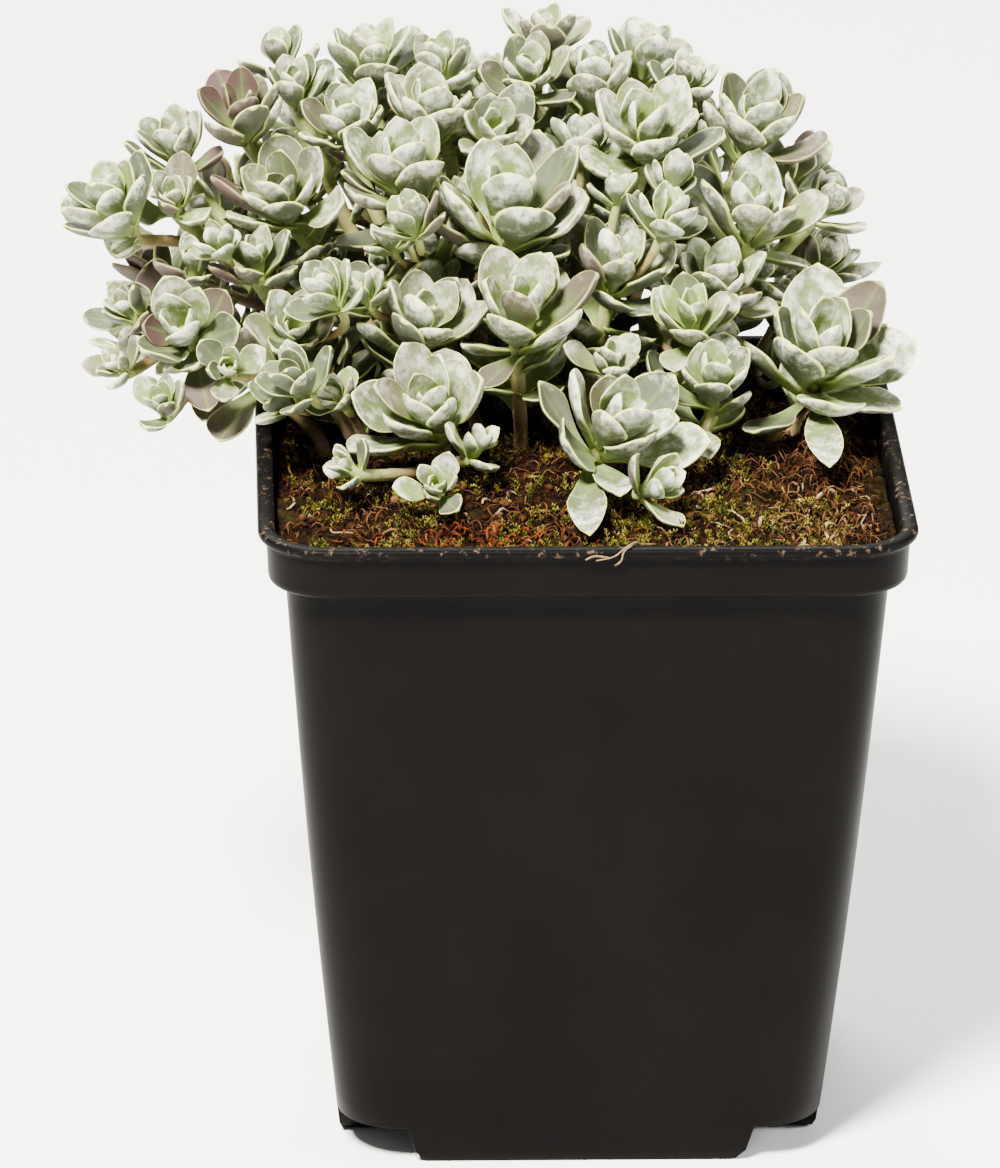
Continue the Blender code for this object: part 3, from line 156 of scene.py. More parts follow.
STEMS = (
    Stem("stem_front_left", (
        Head(430, 402, -9, 10.5, (-0.25, -0.55), 9, 20),
        Head(436, 484, -27, 4.8, (-0.1, -0.9), 6, 40),
        Head(482, 440, -15, 5.2, (0.5, -0.3), 5, 0),
        Head(345, 466, -19, 4.0, (-1.2, -0.5), 4, 30),
    ), (
        Stray(352, 452, -14, 0.93, 4.6),
        Stray(505, 452, -20, 0.9, 2.4),
    )),
    Stem("stem_front_mid", (
        Head(620, 420, -16, 11.0, (0.45, -0.5), 9, 75),
        Head(663, 482, -29, 5.8, (1.3, -0.6), 6, 10),
        Head(612, 356, -8, 5.4, (0.2, -0.5), 6, 25),
    ), (
        Stray(536, 382, -9, 0.8, 3.6),
        Stray(618, 512, -30, 0.85, 2.8),
        Stray(582, 526, -38.6, 0.85, 2.8),
    )),
    Stem("stem_right_big", (
        Head(822, 342, 8, 12.5, (0.15, -0.4), 10, 5),
    ), (
        Stray(912, 355, 16, 0.9, 2.4),
        Stray(903, 408, 4, 0.86, 4.2),
        Stray(742, 340, 8, 0.92, 3.8),
        Stray(750, 432, -8, 0.84, 3.4),
        Stray(826, 466, -19, 0.85, 2.7),
    )),
    Stem("stem_right_low", (
        Head(715, 375, -5, 7.8, (0.05, -0.35), 8, 60),
    ), (
        Stray(710, 458, -16, 0.75, 1.9),
        Stray(752, 392, -6, 0.93, 2.0),
    )),
    Stem("stem_right_bright", (
        Head(692, 312, 3, 7.0, (-0.05, -0.3), 7, 15),
    ), (
        Stray(672, 372, -2, 0.85, 2.9),
    )),
    Stem("stem_right_pale", (
        Head(718, 276, 14, 8.2, (0.1, -0.3), 7, 50),
    ), (
        Stray(780, 312, 12, 0.85, 3.2),
    )),
    Stem("stem_mid_right", (
        Head(618, 262, 10, 9.0, (0.2, -0.25), 8, 0),
    ), (
        Stray(660, 312, 6, 0.88, 2.8),
    )),
    Stem("stem_mid_front", (
        Head(525, 305, 0, 11.0, (0.1, -0.4), 9, 33),
    ), (
        Stray(460, 345, -2, 0.9, 2.4),
        Stray(480, 388, -6, 0.88, 2.3),
    )),
    Stem("stem_mid_low", (
        Head(425, 318, 3, 9.5, (0.2, -0.45), 8, 12),
        Head(380, 268, 10, 4.0, (-0.1, -0.5), 5, 0),
    ), (
        Stray(355, 322, 2, 0.85, 2.0),
    )),
    Stem("stem_centre_big", (
        Head(508, 200, 12, 12.5, (0.1, -0.35), 10, 48),
    ), (
        Stray(572, 252, 8, 0.92, 3.0),
        Stray(420, 210, 10, 0.9, 3.4),
    )),
    Stem("stem_centre_left", (
        Head(402, 160, 16, 10.2, (0.0, -0.3), 9, 70),
    ), (
        Stray(340, 170, 16, 0.9, 2.6),
        Stray(430, 255, 12, 0.82, 2.4),
    )),
    Stem("stem_left_mid", (
        Head(294, 328, 3, 7.2, (-0.1, -0.9), 8, 5),
        Head(229, 366, -2, 5.0, (0.0, -1.2), 6, 30),
    ), (
        Stray(300, 385, 2, 0.55, 4.8),
    )),
    Stem("stem_left_big", (
        Head(182, 328, 5, 9.6, (-0.35, -1.1), 9, 80),
        Head(160, 400, 0, 5.2, (-0.3, -0.5), 6, 10),
    ), (
        Stray(205, 412, 0, 0.8, 3.0),
        Stray(228, 446, 2, 0.7, 4.2),
    )),
    Stem("stem_left_low", (
        Head(124, 305, 12, 5.6, (-0.7, -0.5), 6, 0),
        Head(114, 362, 5, 4.4, (-0.8, -0.6), 5, 50),
    ), (
        Stray(132, 280, 14, 0.9, 2.4),
    )),
    Stem("stem_left_up", (
        Head(256, 256, 12, 6.6, (-0.1, -0.35), 7, 22),
        Head(192, 258, 15, 5.2, (-0.1, -0.4), 6, 66),
    ), (
        Stray(155, 262, 14, 0.85, 3.4, 1),
    )),
    Stem("stem_left_purple", (
        Head(282, 192, 18, 8.8, (-0.3, -0.55), 9, 35),
    ), (
        Stray(212, 178, 18, 0.93, 3.9),
        Stray(225, 215, 12, 0.9, 2.6),
    )),
    Stem("stem_left_far", (
        Head(172, 195, 19, 6.0, (-0.2, -0.7), 6, 10),
        Head(110, 196, 15, 8.6, (-0.55, -0.2), 7, 40),
    ), (
        Stray(62, 226, 14, 0.93, 1.9, 1),
        Stray(116, 256, 11, 0.8, 1.7, 1),
    )),
    Stem("stem_right_high", (
        Head(752, 208, 20, 10.2, (0.1, -0.35), 9, 14),
    ), (
        Stray(690, 195, 20, 0.9, 1.9),
        Stray(815, 268, 22, 0.85, 2.6),
    )),
    Stem("stem_right_edge", (
        Head(832, 196, 30, 6.8, (0.7, -0.2), 6, 70),
        Head(808, 160, 36, 7.6, (0.45, -0.1), 6, 5),
    )),
    Stem("stem_top_left", (
        Head(172, 140, 27, 7.2, (-0.3, -0.2), 8, 30),
    ), (
        Stray(122, 140, 26, 0.9, 2.3),
    )),
    Stem("stem_top_purple", (
        Head(242, 108, 28, 8.4, (-0.15, -0.35), 8, 55),
    )),
    Stem("stem_top_pair", (
        Head(296, 84, 32, 6.4, (-0.1, -0.3), 7, 15),
        Head(278, 48, 40, 6.2, (-0.25, 0.0), 6, 45),
    )),
    Stem("stem_top_cup", (
        Head(370, 52, 41, 8.2, (0.0, 0.0), 7, 0),
    ), (
        Stray(335, 68, 40, 0.93, 2.2),
    )),
    Stem("stem_top_mid", (
        Head(345, 116, 28, 7.4, (-0.1, -0.35), 7, 62),
    )),
    Stem("stem_top_back", (
        Head(438, 58, 38, 7.4, (0.0, -0.1), 6, 27),
    )),
    Stem("stem_top_broad", (
        Head(432, 108, 27, 9.2, (0.05, -0.25), 8, 72),
    )),
    Stem("stem_top_tight", (
        Head(494, 128, 23, 7.2, (0.05, -0.7), 8, 18),
    )),
    Stem("stem_top_centre", (
        Head(530, 70, 35, 6.8, (0.05, -0.5), 8, 40),
        Head(546, 26, 45, 6.6, (0.05, 0.0), 6, 8),
    )),
    Stem("stem_top_wide", (
        Head(590, 78, 37, 8.8, (0.05, -0.1), 7, 58),
    )),
    Stem("stem_high_big", (
        Head(645, 126, 25, 10.4, (0.05, -0.5), 9, 85),
    )),
    Stem("stem_top_right", (
        Head(642, 52, 43, 8.4, (0.1, 0.05), 8, 20),
        Head(690, 74, 38, 5.4, (0.35, -0.1), 6, 35),
    )),
    Stem("stem_high_right", (
        Head(757, 118, 32, 10.0, (0.2, -0.3), 9, 64),
    ), (
        Stray(704, 100, 32, 0.93, 2.2),
    )),
)

# Heads on the far side of the plant, out of the measured view: x, y, z, leaf length, leaves.
FAR_HEADS = (
    ("stem_far_left", -60.0, 28.0, 112.0, 7.4, 6),
    ("stem_far_corner", -50.0, 46.0, 119.0, 8.4, 6),
    ("stem_far_low_left", -34.0, 52.0, 107.0, 7.8, 6),
    ("stem_back_left", -38.0, 57.0, 128.0, 8.4, 6),
    ("stem_back_mid_left", -19.0, 62.0, 123.0, 8.8, 6),
    ("stem_back_low", -8.0, 54.0, 106.0, 7.8, 6),
    ("stem_back_mid", 1.0, 62.0, 125.0, 9.0, 6),
    ("stem_back_right", 19.0, 56.0, 122.0, 8.8, 6),
    ("stem_back_low_right", 22.0, 46.0, 105.0, 7.8, 6),
    ("stem_right_back", 37.0, 40.0, 110.0, 8.6, 6),
)


def view_axes() -> tuple[Vector, Vector, Vector, Vector]:
    """Work out the camera of the photograph's view.

    Returns:
        The position in millimetres, and the right, up and back directions.
    """
    back = Vector((
        math.sin(VIEW_AZIMUTH) * math.cos(VIEW_ELEVATION),
        -math.cos(VIEW_AZIMUTH) * math.cos(VIEW_ELEVATION),
        math.sin(VIEW_ELEVATION),
    ))
    camera = VIEW_PIVOT + back * VIEW_DISTANCE
    back = (camera - VIEW_AIM).normalized()
    right = UP.cross(back).normalized()
    up = back.cross(right)
    turned_right = right * math.cos(VIEW_ROLL) + up * math.sin(VIEW_ROLL)
    turned_up = up * math.cos(VIEW_ROLL) - right * math.sin(VIEW_ROLL)
    return camera, turned_right, turned_up, back


def seen_point(across: float, down: float, deep: float) -> Vector:
    """Find the point of an upright plane that is seen at a place of the view.

    Args:
        across: Pixels from the left.
        down: Pixels from the top.
        deep: The y of the plane.

    Returns:
        The point in millimetres.
    """
    camera, right, up, back = view_axes()
    ray = right * ((across - VIEW_CENTRE[0]) / VIEW_FOCAL)
    ray = ray - up * ((down - VIEW_CENTRE[1]) / VIEW_FOCAL) - back
    return camera + ray * ((deep - camera.y) / ray.y)


def seen_place(point: Vector) -> tuple[float, float]:
    """Find where a point is seen in the view.

    Args:
        point: The point in millimetres.

    Returns:
        Pixels from the left and from the top.
    """
    camera, right, up, back = view_axes()
    ray = point - camera
    depth = -ray.dot(back)
    return (VIEW_CENTRE[0] + VIEW_FOCAL * ray.dot(right) / depth,
            VIEW_CENTRE[1] - VIEW_FOCAL * ray.dot(up) / depth)


def blend(value: float, low: float, high: float) -> float:
    """Return a smooth 0 to 1 step of value between low and high."""
    part = min(1.0, max(0.0, (value - low) / (high - low)))
    return part * part * (3.0 - 2.0 * part)


def soil_height(x: float, y: float) -> float:
    """Work out the height of the soil, which is lower at the left and the back.

    Args:
        x: Place from the middle to the right.
        y: Place from the middle to the back.

    Returns:
        The height over the table.
    """
    dip = SOIL_DIP * blend(-x, -12.0, 38.0) * blend(y, -32.0, 12.0)
    lumps = 0.55 * math.sin(0.21 * x + 1.3) * math.cos(0.17 * y + 0.4)
    lumps += 0.3 * math.sin(0.43 * x - 0.29 * y)
    return SOIL_TOP - dip + lumps


def body_half(z: float) -> float:
    """Work out the half width of the pot body, with its slight outward bulge.

    Args:
        z: The height over the table.

    Returns:
        The half width.
    """
    part = z / BODY_TOP_Z
    straight = BODY_HALF_BOTTOM + (BODY_HALF_TOP - BODY_HALF_BOTTOM) * part
    return straight + BODY_BULGE * math.sin(math.pi * part)


def four_sides(side: list[tuple[float, float]], z: float) -> list[Point]:
    """Repeat the points of the front side round all four sides.

    Args:
        side: Points of the front side.
        z: The height of the ring.

    Returns:
        The ring, anticlockwise from the front.
    """
    turns = [(math.cos(QUARTER * quarter), math.sin(QUARTER * quarter)) for quarter in range(4)]
    return [(x * cosine - y * sine, x * sine + y * cosine, z)
            for cosine, sine in turns for x, y in side]


def square_ring(half: float, radius: float, z: float, notch: float = FOOT_HALF_TOP,
                steps: int = 10) -> list[Point]:
    """Draw a rounded square with two extra points on each side.

    Args:
        half: Half width.
        radius: Corner radius.
        z: The height of the ring.
        notch: How far from the middle of a side its extra points are.
        steps: Parts of a corner.

    Returns:
        The ring of points.
    """
    side = [(-notch, -half), (notch, -half)]
    for step in range(steps + 1):
        angle = -QUARTER + QUARTER * step / steps
        side.append((half - radius + radius * math.cos(angle),
                     radius - half + radius * math.sin(angle)))
    return four_sides(side, z)


def cross_ring(half: float, arm: float, z: float) -> list[Point]:
    """Return the outline of the cross-shaped foot, three points for each quarter."""
    return four_sides([(-arm, -half), (arm, -half), (arm, -arm)], z)


def turned(axis: Vector, radial: Vector, angle: float) -> Vector:
    """Return a direction across an axis, turned about that axis."""
    return radial * math.cos(angle) + axis.cross(radial) * math.sin(angle)


def opened(axis: Vector, radial: Vector, lean: float) -> tuple[Vector, Vector]:
    """Work out how a leaf stands that leans out from an axis.

    Args:
        axis: The direction of the stem.
        radial: The side that the leaf leans to.
        lean: The angle from the axis.

    Returns:
        The direction of the leaf and of its upper side.
    """
    cosine = math.cos(lean)
    sine = math.sin(lean)
    return axis * cosine + radial * sine, axis * sine - radial * cosine


def tube_faces(rings: int, count: int, pointed: bool = True) -> list[Face]:
    """List the faces of a stack of rings with a flat root end.

    Args:
        rings: How many rings.
        count: Points in a ring.
        pointed: Whether the far end closes to one more point, or flat.

    Returns:
        The faces as point numbers.
    """
    faces = [tuple(reversed(range(count)))]
    for ring in range(rings - 1):
        faces.extend(band_faces(ring * count, (ring + 1) * count, count))
    last = (rings - 1) * count
    if pointed:
        faces.extend((last + step, last + (step + 1) % count, last + count)
                     for step in range(count))
    else:
        faces.append(tuple(range(last, last + count)))
    return faces


def band_faces(low: int, high: int, count: int) -> list[Face]:
    """Return the quads between two rings of points."""
    return [(low + step, low + (step + 1) % count, high + (step + 1) % count, high + step)
            for step in range(count)]


@dataclass
class Growth:
    """A head in place: its heart, its lean, its leaf length, its leaves and its turn."""

    heart: Vector
    lean: tuple[float, float]
    size: float
    leaves: int
    turn: float

    def __post_init__(self) -> None:
        """Work out the axis, the base and the side from which angles count."""
        self.turn = math.radians(self.turn)
        self.axis = Vector((*self.lean, 1.0)).normalized()
        self.base = self.heart - self.axis * (HEART_RISE * self.size)
        side = Vector((1.0, 0.0, 0.0))
        self.side = (side - self.axis * side.dot(self.axis)).normalized()


@dataclass
class Route:
    """The path of one shoot to its head; order 0 is the main stem of its node."""

    name: str
    order: int
    path: list[Vector]
    head: Growth
    fixed: int


def place_heads() -> list[Grown]:
    """Place the heads of every stem, the near ones from the view and the far ones by place.

    Returns:
        Each node's name, its heads and its older leaves.
    """
    grown = []
    for stem in STEMS:
        heads = [Growth(seen_point(head.across, head.down, head.deep), head.lean, head.size,
                        head.leaves, head.turn) for head in stem.heads]
        grown.append((stem.name, heads, stem.strays))
    for number, (name, x, y, z, size, leaves) in enumerate(FAR_HEADS):
        lean = ((x - FAN_CENTRE[0]) / FAR_LEAN[0], (y - FAN_CENTRE[1]) / FAR_LEAN[1])
        head = Growth(Vector((x, y, z)), lean, size, leaves, FAR_TURN * number)
        grown.append((name, [head], ()))
    return grown


def root_places(grown: list[Grown]) -> list[tuple[float, float]]:
    """Find where each stem enters the soil, fanned in from its first head and kept apart.

    Args:
        grown: The nodes with their heads.

    Returns:
        The x and y of each stem.
    """
    places = []
    for name, heads, strays in grown:
        base = heads[0].base
        pull = min(0.62, max(0.06, (base.z - 98.0) / 40.0))
        x = base.x + (FAN_CENTRE[0] - base.x) * pull
        y = base.y + (FAN_CENTRE[1] - base.y) * pull
        places.append([min(35.0, max(-35.0, x)), min(36.0, max(-32.0, y))])
    spots = np.array(places)
    for step in range(200):
        offset = spots[:, None, :] - spots[None, :, :]
        distance = np.sqrt((offset ** 2).sum(axis=2)) + np.eye(len(spots)) * 100.0
        push = np.clip(ROOT_SPACING - distance, 0.0, None) / distance
        spots = spots + 0.3 * (offset * push[:, :, None]).sum(axis=1)
        spots = np.clip(spots, -ROOT_LIMIT, ROOT_LIMIT)
    return [(float(x), float(y)) for x, y in spots]


def bezier(start: Vector, first: Vector, second: Vector, end: Vector, count: int) -> list[Vector]:
    """Lay points along a cubic curve.

    Args:
        start: Where the curve starts.
        first: The control point after the start.
        second: The control point before the end.
        end: Where the curve ends.
        count: How many points.

    Returns:
        The points, without the start.
    """
    points = []
    for step in range(1, count + 1):
        part = step / count
        rest = 1.0 - part
        points.append(start * rest ** 3 + first * (3.0 * rest * rest * part)
                      + second * (3.0 * rest * part * part) + end * part ** 3)
    return points


def stem_paths(grown: list[Grown], roots: list[tuple[float, float]]) -> list[Route]:
    """Lay a dense path to every head: straight out of the soil, then curving to the head.

    Args:
        grown: The nodes with their heads.
        roots: Where each stem enters the soil.

    Returns:
        The route of each head.
    """
    routes = []
    for (name, heads, strays), (x, y) in zip(grown, roots):
        ground = soil_height(x, y)
        low = Vector((x, y, ground - STEM_DEPTH))
        top = Vector((x, y, ground + 1.0))
        first = heads[0]
        reach = (first.base - top).length
        main = [low, top] + bezier(top, top + UP * (0.45 * reach),
                                   first.base - first.axis * (0.42 * reach), first.base, 18)
        routes.append(Route(name, 0, main, first, 2))
        for order, head in enumerate(heads[1:], 1):
            start = main[min(range(2, len(main) - 3),
                             key=lambda spot: branch_cost(main[spot], head, spot))]
            reach = (head.base - start).length
            curve = bezier(start, start + UP * (0.25 * reach),
                           head.base - head.axis * (0.4 * reach), head.base, 12)
            routes.append(Route(name, order, [start.copy()] + curve, head, 1))
    return routes


def branch_cost(point: Vector, head: Growth, spot: int) -> float:
    """Judge how poorly a point of the main stem suits as the start of a side stem.

    Args:
        point: The point.
        head: The head of the side stem.
        spot: The number of the point, from the root up.

    Returns:
        The cost, lower for a nearer point that leaves a steeper climb.
    """
    away = (head.base - point).length
    climb = head.base.z - point.z
    return away + 1.2 * max(0.0, 0.35 * away - climb) - 0.05 * spot


def repel(points: np.ndarray, others: np.ndarray, apart: float | np.ndarray,
          foreign: np.ndarray) -> np.ndarray:
    """Work out how points are pushed off others that are too near.

    Args:
        points: The points that move.
        others: The points that push.
        apart: The distance to keep, one for all or one for each other point.
        foreign: Which pairs push.

    Returns:
        The push on each point.
    """
    offset = points[:, None, :] - others[None, :, :]
    distance = np.sqrt((offset ** 2).sum(axis=2)) + 1e-6
    push = np.where(foreign, np.clip(apart - distance, 0.0, None), 0.0) / distance
    return (offset * push[:, :, None]).sum(axis=1)


def relax_paths(routes: list[Route]) -> None:
    """Push the stems of different nodes apart, and clear of the other nodes' hearts.

    Args:
        routes: The routes, whose paths are replaced.
    """
    names = sorted({route.name for route in routes})
    labels = np.array([names.index(route.name) for route in routes])
    counts = [len(route.path) for route in routes]
    owner = np.repeat(labels, counts)
    held = np.array([spot < route.fixed or spot >= len(route.path) - 2
                     for route in routes for spot in range(len(route.path))])
    points = np.array([tuple(point) for route in routes for point in route.path])
    heads = [route.head for route in routes]
    hearts = np.array([tuple(head.heart - head.axis * 0.3 * head.size) for head in heads])
    spans = np.array([0.36 * head.size + 1.2 for head in heads])
    other = owner[:, None] != owner[None, :]
    other_heart = owner[:, None] != labels[None, :]
    starts = np.cumsum([0] + counts)
    for step in range(90):
        move = repel(points, points, STEM_SPACING, other) * 0.25
        move = move + repel(points, hearts, spans, other_heart) * 0.35
        move[held] = 0.0
        points = points + np.clip(move, -0.8, 0.8)
        for low, high in zip(starts[:-1], starts[1:]):
            part = points[low:high]
            smooth = part.copy()
            smooth[1:-1] = 0.5 * part[1:-1] + 0.25 * (part[:-2] + part[2:])
            free = ~held[low:high]
            part[free] = smooth[free]
        for spot in np.flatnonzero(~held):
            x, y, z = points[spot]
            floor = soil_height(x, y) + OVER_SOIL
            if max(abs(x), abs(y)) > LIP_NEAR_HALF:
                floor = POT_HEIGHT + OVER_LIP
            points[spot, 2] = max(z, floor)
    for route, low, high in zip(routes, starts[:-1], starts[1:]):
        route.path = [Vector(tuple(point)) for point in points[low:high]]


def thin_paths(routes: list[Route]) -> None:
    """Keep a few points of every path, and start each side stem on the line of its main stem.

    Args:
        routes: The routes, whose paths are replaced.
    """
    mains = {}
    for route in routes:
        rest = route.path[route.fixed - 1:]
        segments = 3 if (rest[-1] - rest[0]).length > LONG_STEM else 2
        thin = route.path[:route.fixed]
        thin += [rest[round(step * (len(rest) - 1) / segments)] for step in range(1, segments + 1)]
        if route.order == 0:
            mains[route.name] = thin
        else:
            thin[0] = nearest_on(mains[route.name][1:], route.path[0])
        route.path = thin


def nearest_on(line: list[Vector], point: Vector) -> Vector:
    """Find the point of a broken line that is nearest to a point.

    Args:
        line: The points of the line.
        point: The point to be near.

    Returns:
        The nearest point.
    """
    best = line[0]
    for low, high in zip(line, line[1:]):
        span = high - low
        part = min(1.0, max(0.0, (point - low).dot(span) / span.length_squared))
        spot = low + span * part
        if (spot - point).length < (best - point).length:
            best = spot
    return best.copy()


def along_line(line: list[Vector], part: float) -> Vector:
    """Find the point at a part of the length of a broken line.

    Args:
        line: The points of the line.
        part: The part of its length, 0 to 1.

    Returns:
        The point there.
    """
    spans = spans_of(line)
    left = part * sum(spans)
    for low, high, span in zip(line, line[1:], spans):
        if left <= span:
            return low + (high - low) * (left / span)
        left -= span
    return line[-1].copy()


def spans_of(line: list[Vector]) -> list[float]:
    """Return the lengths of the parts of a broken line."""
    return [(high - low).length for low, high in zip(line, line[1:])]


@dataclass
class Blade:
    """One leaf: where it starts, which way it goes, how it curls, and its size."""

    start: Vector
    along: Vector
    face: Vector
    length: float
    half_width: float
    thick: float
    curl: float
    short: bool = True

    def middle(self, part: float) -> tuple[Vector, Vector, Vector]:
        """Follow the mid-line of the leaf.

        Args:
            part: The part of the length, 0 to 1.

        Returns:
            The point, the direction and the upper side there.
        """
        turn = self.curl * part
        if abs(self.curl) < 1e-4:
            return self.start + self.along * (self.length * part), self.along, self.face
        run = math.sin(turn) / self.curl
        rise = (1.0 - math.cos(turn)) / self.curl
        point = self.start + (self.along * run + self.face * rise) * self.length
        along = self.along * math.cos(turn) + self.face * math.sin(turn)
        face = self.face * math.cos(turn) - self.along * math.sin(turn)
        return point, along, face

    def sections(self, margin: float) -> tuple[list[tuple], Vector]:
        """Cut the leaf across, outward from the root.

        Args:
            margin: How far everything stands out from the leaf itself.

        Returns:
            The four-cornered sections, and the tip.
        """
        side = self.along.cross(self.face)
        rings = []
        for part, wide, deep in SHORT_STATIONS if self.short else LONG_STATIONS:
            point, along, face = self.middle(part)
            half = self.half_width * wide
            top = face * (0.35 * self.thick * deep + margin)
            low = face * (-0.65 * self.thick * deep - margin)
            narrow = side * (KEEL * half + margin)
            broad = side * (half + margin)
            rings.append((point + low + narrow, point + low - narrow,
                          point + top - broad, point + top + broad))
        tip, along, face = self.middle(1.0)
        return rings, tip + along * margin

    def solid(self, margin: float = 0.0) -> Solid:
        """Make the blade alone as a closed solid that starts a little off its root.

        Args:
            margin: How far it stands out from the leaf itself.

        Returns:
            The points and faces.
        """
        side = self.along.cross(self.face)
        point, along, face = self.middle(0.14)
        half = side * (0.32 * self.half_width + margin)
        thick = face * (0.3 * self.thick + margin)
        rings, tip = self.sections(margin)
        rings.insert(0, (point - thick + half, point - thick - half,
                         point + thick - half, point + thick + half))
        points = [corner for ring in rings for corner in ring] + [tip]
        return points, tube_faces(len(rings), 4)


def boxed(solid: Solid) -> tuple[BVHTree, np.ndarray, np.ndarray]:
    """Return the tree of a solid, and the low and high corner of its box."""
    points = [tuple(point) for point in solid[0]]
    return BVHTree.FromPolygons(points, solid[1]), np.min(points, axis=0), np.max(points, axis=0)


@dataclass
class Crowd:
    """What is already in place, to test whether a new piece would cross another one."""

    items: list[tuple] = field(default_factory=list)

    def add(self, name: str, order: int, solid: Solid) -> None:
        """Keep a placed piece with its box."""
        self.items.append(((name, order), *boxed(solid)))

    def crosses(self, solid: Solid, name: str = "", order: int | None = None) -> bool:
        """Test whether a solid crosses what is in place.

        Args:
            solid: The points and faces.
            name: The owner whose pieces it may cross.
            order: The one shoot of that owner that it may cross, or None for all.

        Returns:
            Whether it crosses anything else.
        """
        tree, low, high = boxed(solid)
        for owner, placed, least, most in self.items:
            own = owner[0] == name and order in (None, owner[1])
            if own or (low > most).any() or (high < least).any():
                continue
            if tree.overlap(placed):
                return True
        return False


@dataclass
class Shoot(Route):
    """One stem with its rings of points, and the quads of its surface that leaves grow from."""

    collars: int

    def __post_init__(self) -> None:
        """Lay out the rings of the stem."""
        self.whorl = 4 if self.head.leaves >= 10 else 3
        self.levels = 2 if self.head.leaves <= 6 else 3
        self.sides = 2 * self.whorl
        self.step = max(0.78, 0.11 * self.head.size)
        self.points: list[Vector] = []
        self.centres: list[tuple[Vector, Vector]] = []
        self.sprouts: dict[tuple[int, int], Blade] = {}
        self.bands: dict[str, int] = {}
        self.rings = self.plan()
        self.lay_rings()
        self.own = Crowd()
        self.own.add(self.name, self.order, self.body())

    def plan(self) -> list[tuple]:
        """Plan the rings, and note the bands that leaves grow from.

        Returns:
            The centre, direction, radius and lobing of each ring.
        """
        head = self.head
        size = head.size
        radius = STEM_RADIUS if self.order == 0 else BRANCH_RADIUS
        core = max(0.135 * size, 1.06 * radius)
        rings = [(point, None, radius, 0.0) for point in self.path[:self.fixed]]
        rest = self.path[self.fixed - 1:]
        spans = spans_of(rest)
        total = sum(spans)
        marks = [sum(spans[:spot]) / total for spot in range(1, len(rest) - 1)]
        node = NODE_PART if self.order == 0 and total > 7.0 else None
        if node is not None:
            marks = sorted([mark for mark in marks if abs(mark - node) * total > 3.0] + [node])
        for mark in marks:
            for shift in (-0.6, 0.6) if mark == node else (0.0,):
                rings.append((along_line(rest, mark + shift / total), None, radius, 0.0))
            if mark == node:
                self.bands["node"] = len(rings) - 2
        for below in range(self.collars, 0, -1):
            start = head.base - head.axis * (below * max(0.9, 0.10 * size))
            rings.append((start, head.axis, radius, 0.0))
            self.bands["collar%d" % below] = len(rings) - 1
        for level in range(self.levels + 1):
            if level:
                self.bands["level%d" % (level - 1)] = len(rings) - 1
            rings.append((head.base + head.axis * (self.step * level), head.axis,
                          core * (1.0 - 0.04 * level), 0.0))
        top = self.step * self.levels
        rings.append((head.base + head.axis * (top + 0.16 * size), head.axis, 0.17 * size, 0.22))
        self.tip = head.base + head.axis * max(top + 0.34 * size, 0.84 * size)
        return rings

    def lay_rings(self) -> None:
        """Place the points of every ring, each turned as little as possible from the last."""
        across = Vector((1.0, 0.0, 0.0))
        for spot, (centre, axis, radius, lobe) in enumerate(self.rings):
            if axis is None:
                ahead = self.rings[min(spot + 1, len(self.rings) - 1)][0]
                behind = self.rings[max(spot - 1, 0)][0]
                axis = (ahead - behind).normalized()
                if spot < 2 and self.order == 0:
                    axis = UP
            across = (across - axis * across.dot(axis)).normalized()
            for step in range(self.sides):
                angle = self.head.turn + 2.0 * math.pi * step / self.sides
                reach = radius * (1.0 + lobe * (-1.0) ** step)
                self.points.append(centre + turned(axis, across, angle) * reach)
            self.centres.append((centre, axis))
        self.points.append(self.tip)

    def root(self, band: int, column: int) -> tuple[Vector, Vector, Vector]:
        """Find where a leaf grows from.

        Args:
            band: The lower ring of the quad.
            column: The number of the quad round the stem.

        Returns:
            The middle of the quad, its outward direction and the axis.
        """
        low = band * self.sides
        high = low + self.sides
        after = (column + 1) % self.sides
        corners = (low + column, low + after, high + after, high + column)
        middle = sum((self.points[corner] for corner in corners), Vector()) / 4.0
        centre, axis = self.centres[band]
        radial = middle - centre
        return middle, (radial - axis * radial.dot(axis)).normalized(), axis

    def body(self) -> Solid:
        """Return the bare stem and heart as a closed solid."""
        return self.points, tube_faces(len(self.rings), self.sides)

    def free_column(self, band: int, direction: Vector) -> int | None:
        """Find the free column of a band that faces a direction best.

        Args:
            band: The band.
            direction: The direction.

        Returns:
            The column, or None where none is free.
        """
        free = [column for column in range(self.sides)
                if not any((band, (column + step) % self.sides) in self.sprouts
                           for step in (-1, 0, 1))]
        return max(free, default=None,
                   key=lambda column: self.root(band, column)[1].dot(direction))


def rosette_blade(shoot: Shoot, level: int, column: int, change: Point, draw: Point) -> Blade:
    """Shape one leaf of a rosette; the lowest level is the outermost and opens widest.

    Args:
        shoot: The shoot.
        level: The whorl, from below.
        column: The quad that it grows from.
        change: Degrees of closing, degrees of turning, and how much it shrinks.
        draw: Three random numbers.

    Returns:
        The leaf.
    """
    closing, turning, shrink = change
    size = shoot.head.size
    age = 1.0 - level / max(1, shoot.levels - 1) * 0.78
    middle, radial, axis = shoot.root(shoot.bands["level%d" % level], column)
    opening = math.radians(10.0 + 52.0 * age + 12.0 * (draw[0] - 0.5) - closing)
    radial = turned(axis, radial, math.radians(turning + 10.0 * (draw[1] - 0.5)))
    along, face = opened(axis, radial, opening)
    length = size * (1.02 + 0.28 * age) * (0.90 + 0.18 * draw[2]) * shrink
    half = size * (0.25 + 0.15 * age) * (0.45 + 0.55 * shrink)
    return Blade(middle, along, face, length, half, max(0.95, 0.12 * size),
                 math.radians(8.0 + 10.0 * age), size < BROAD_HEAD or level > 0)


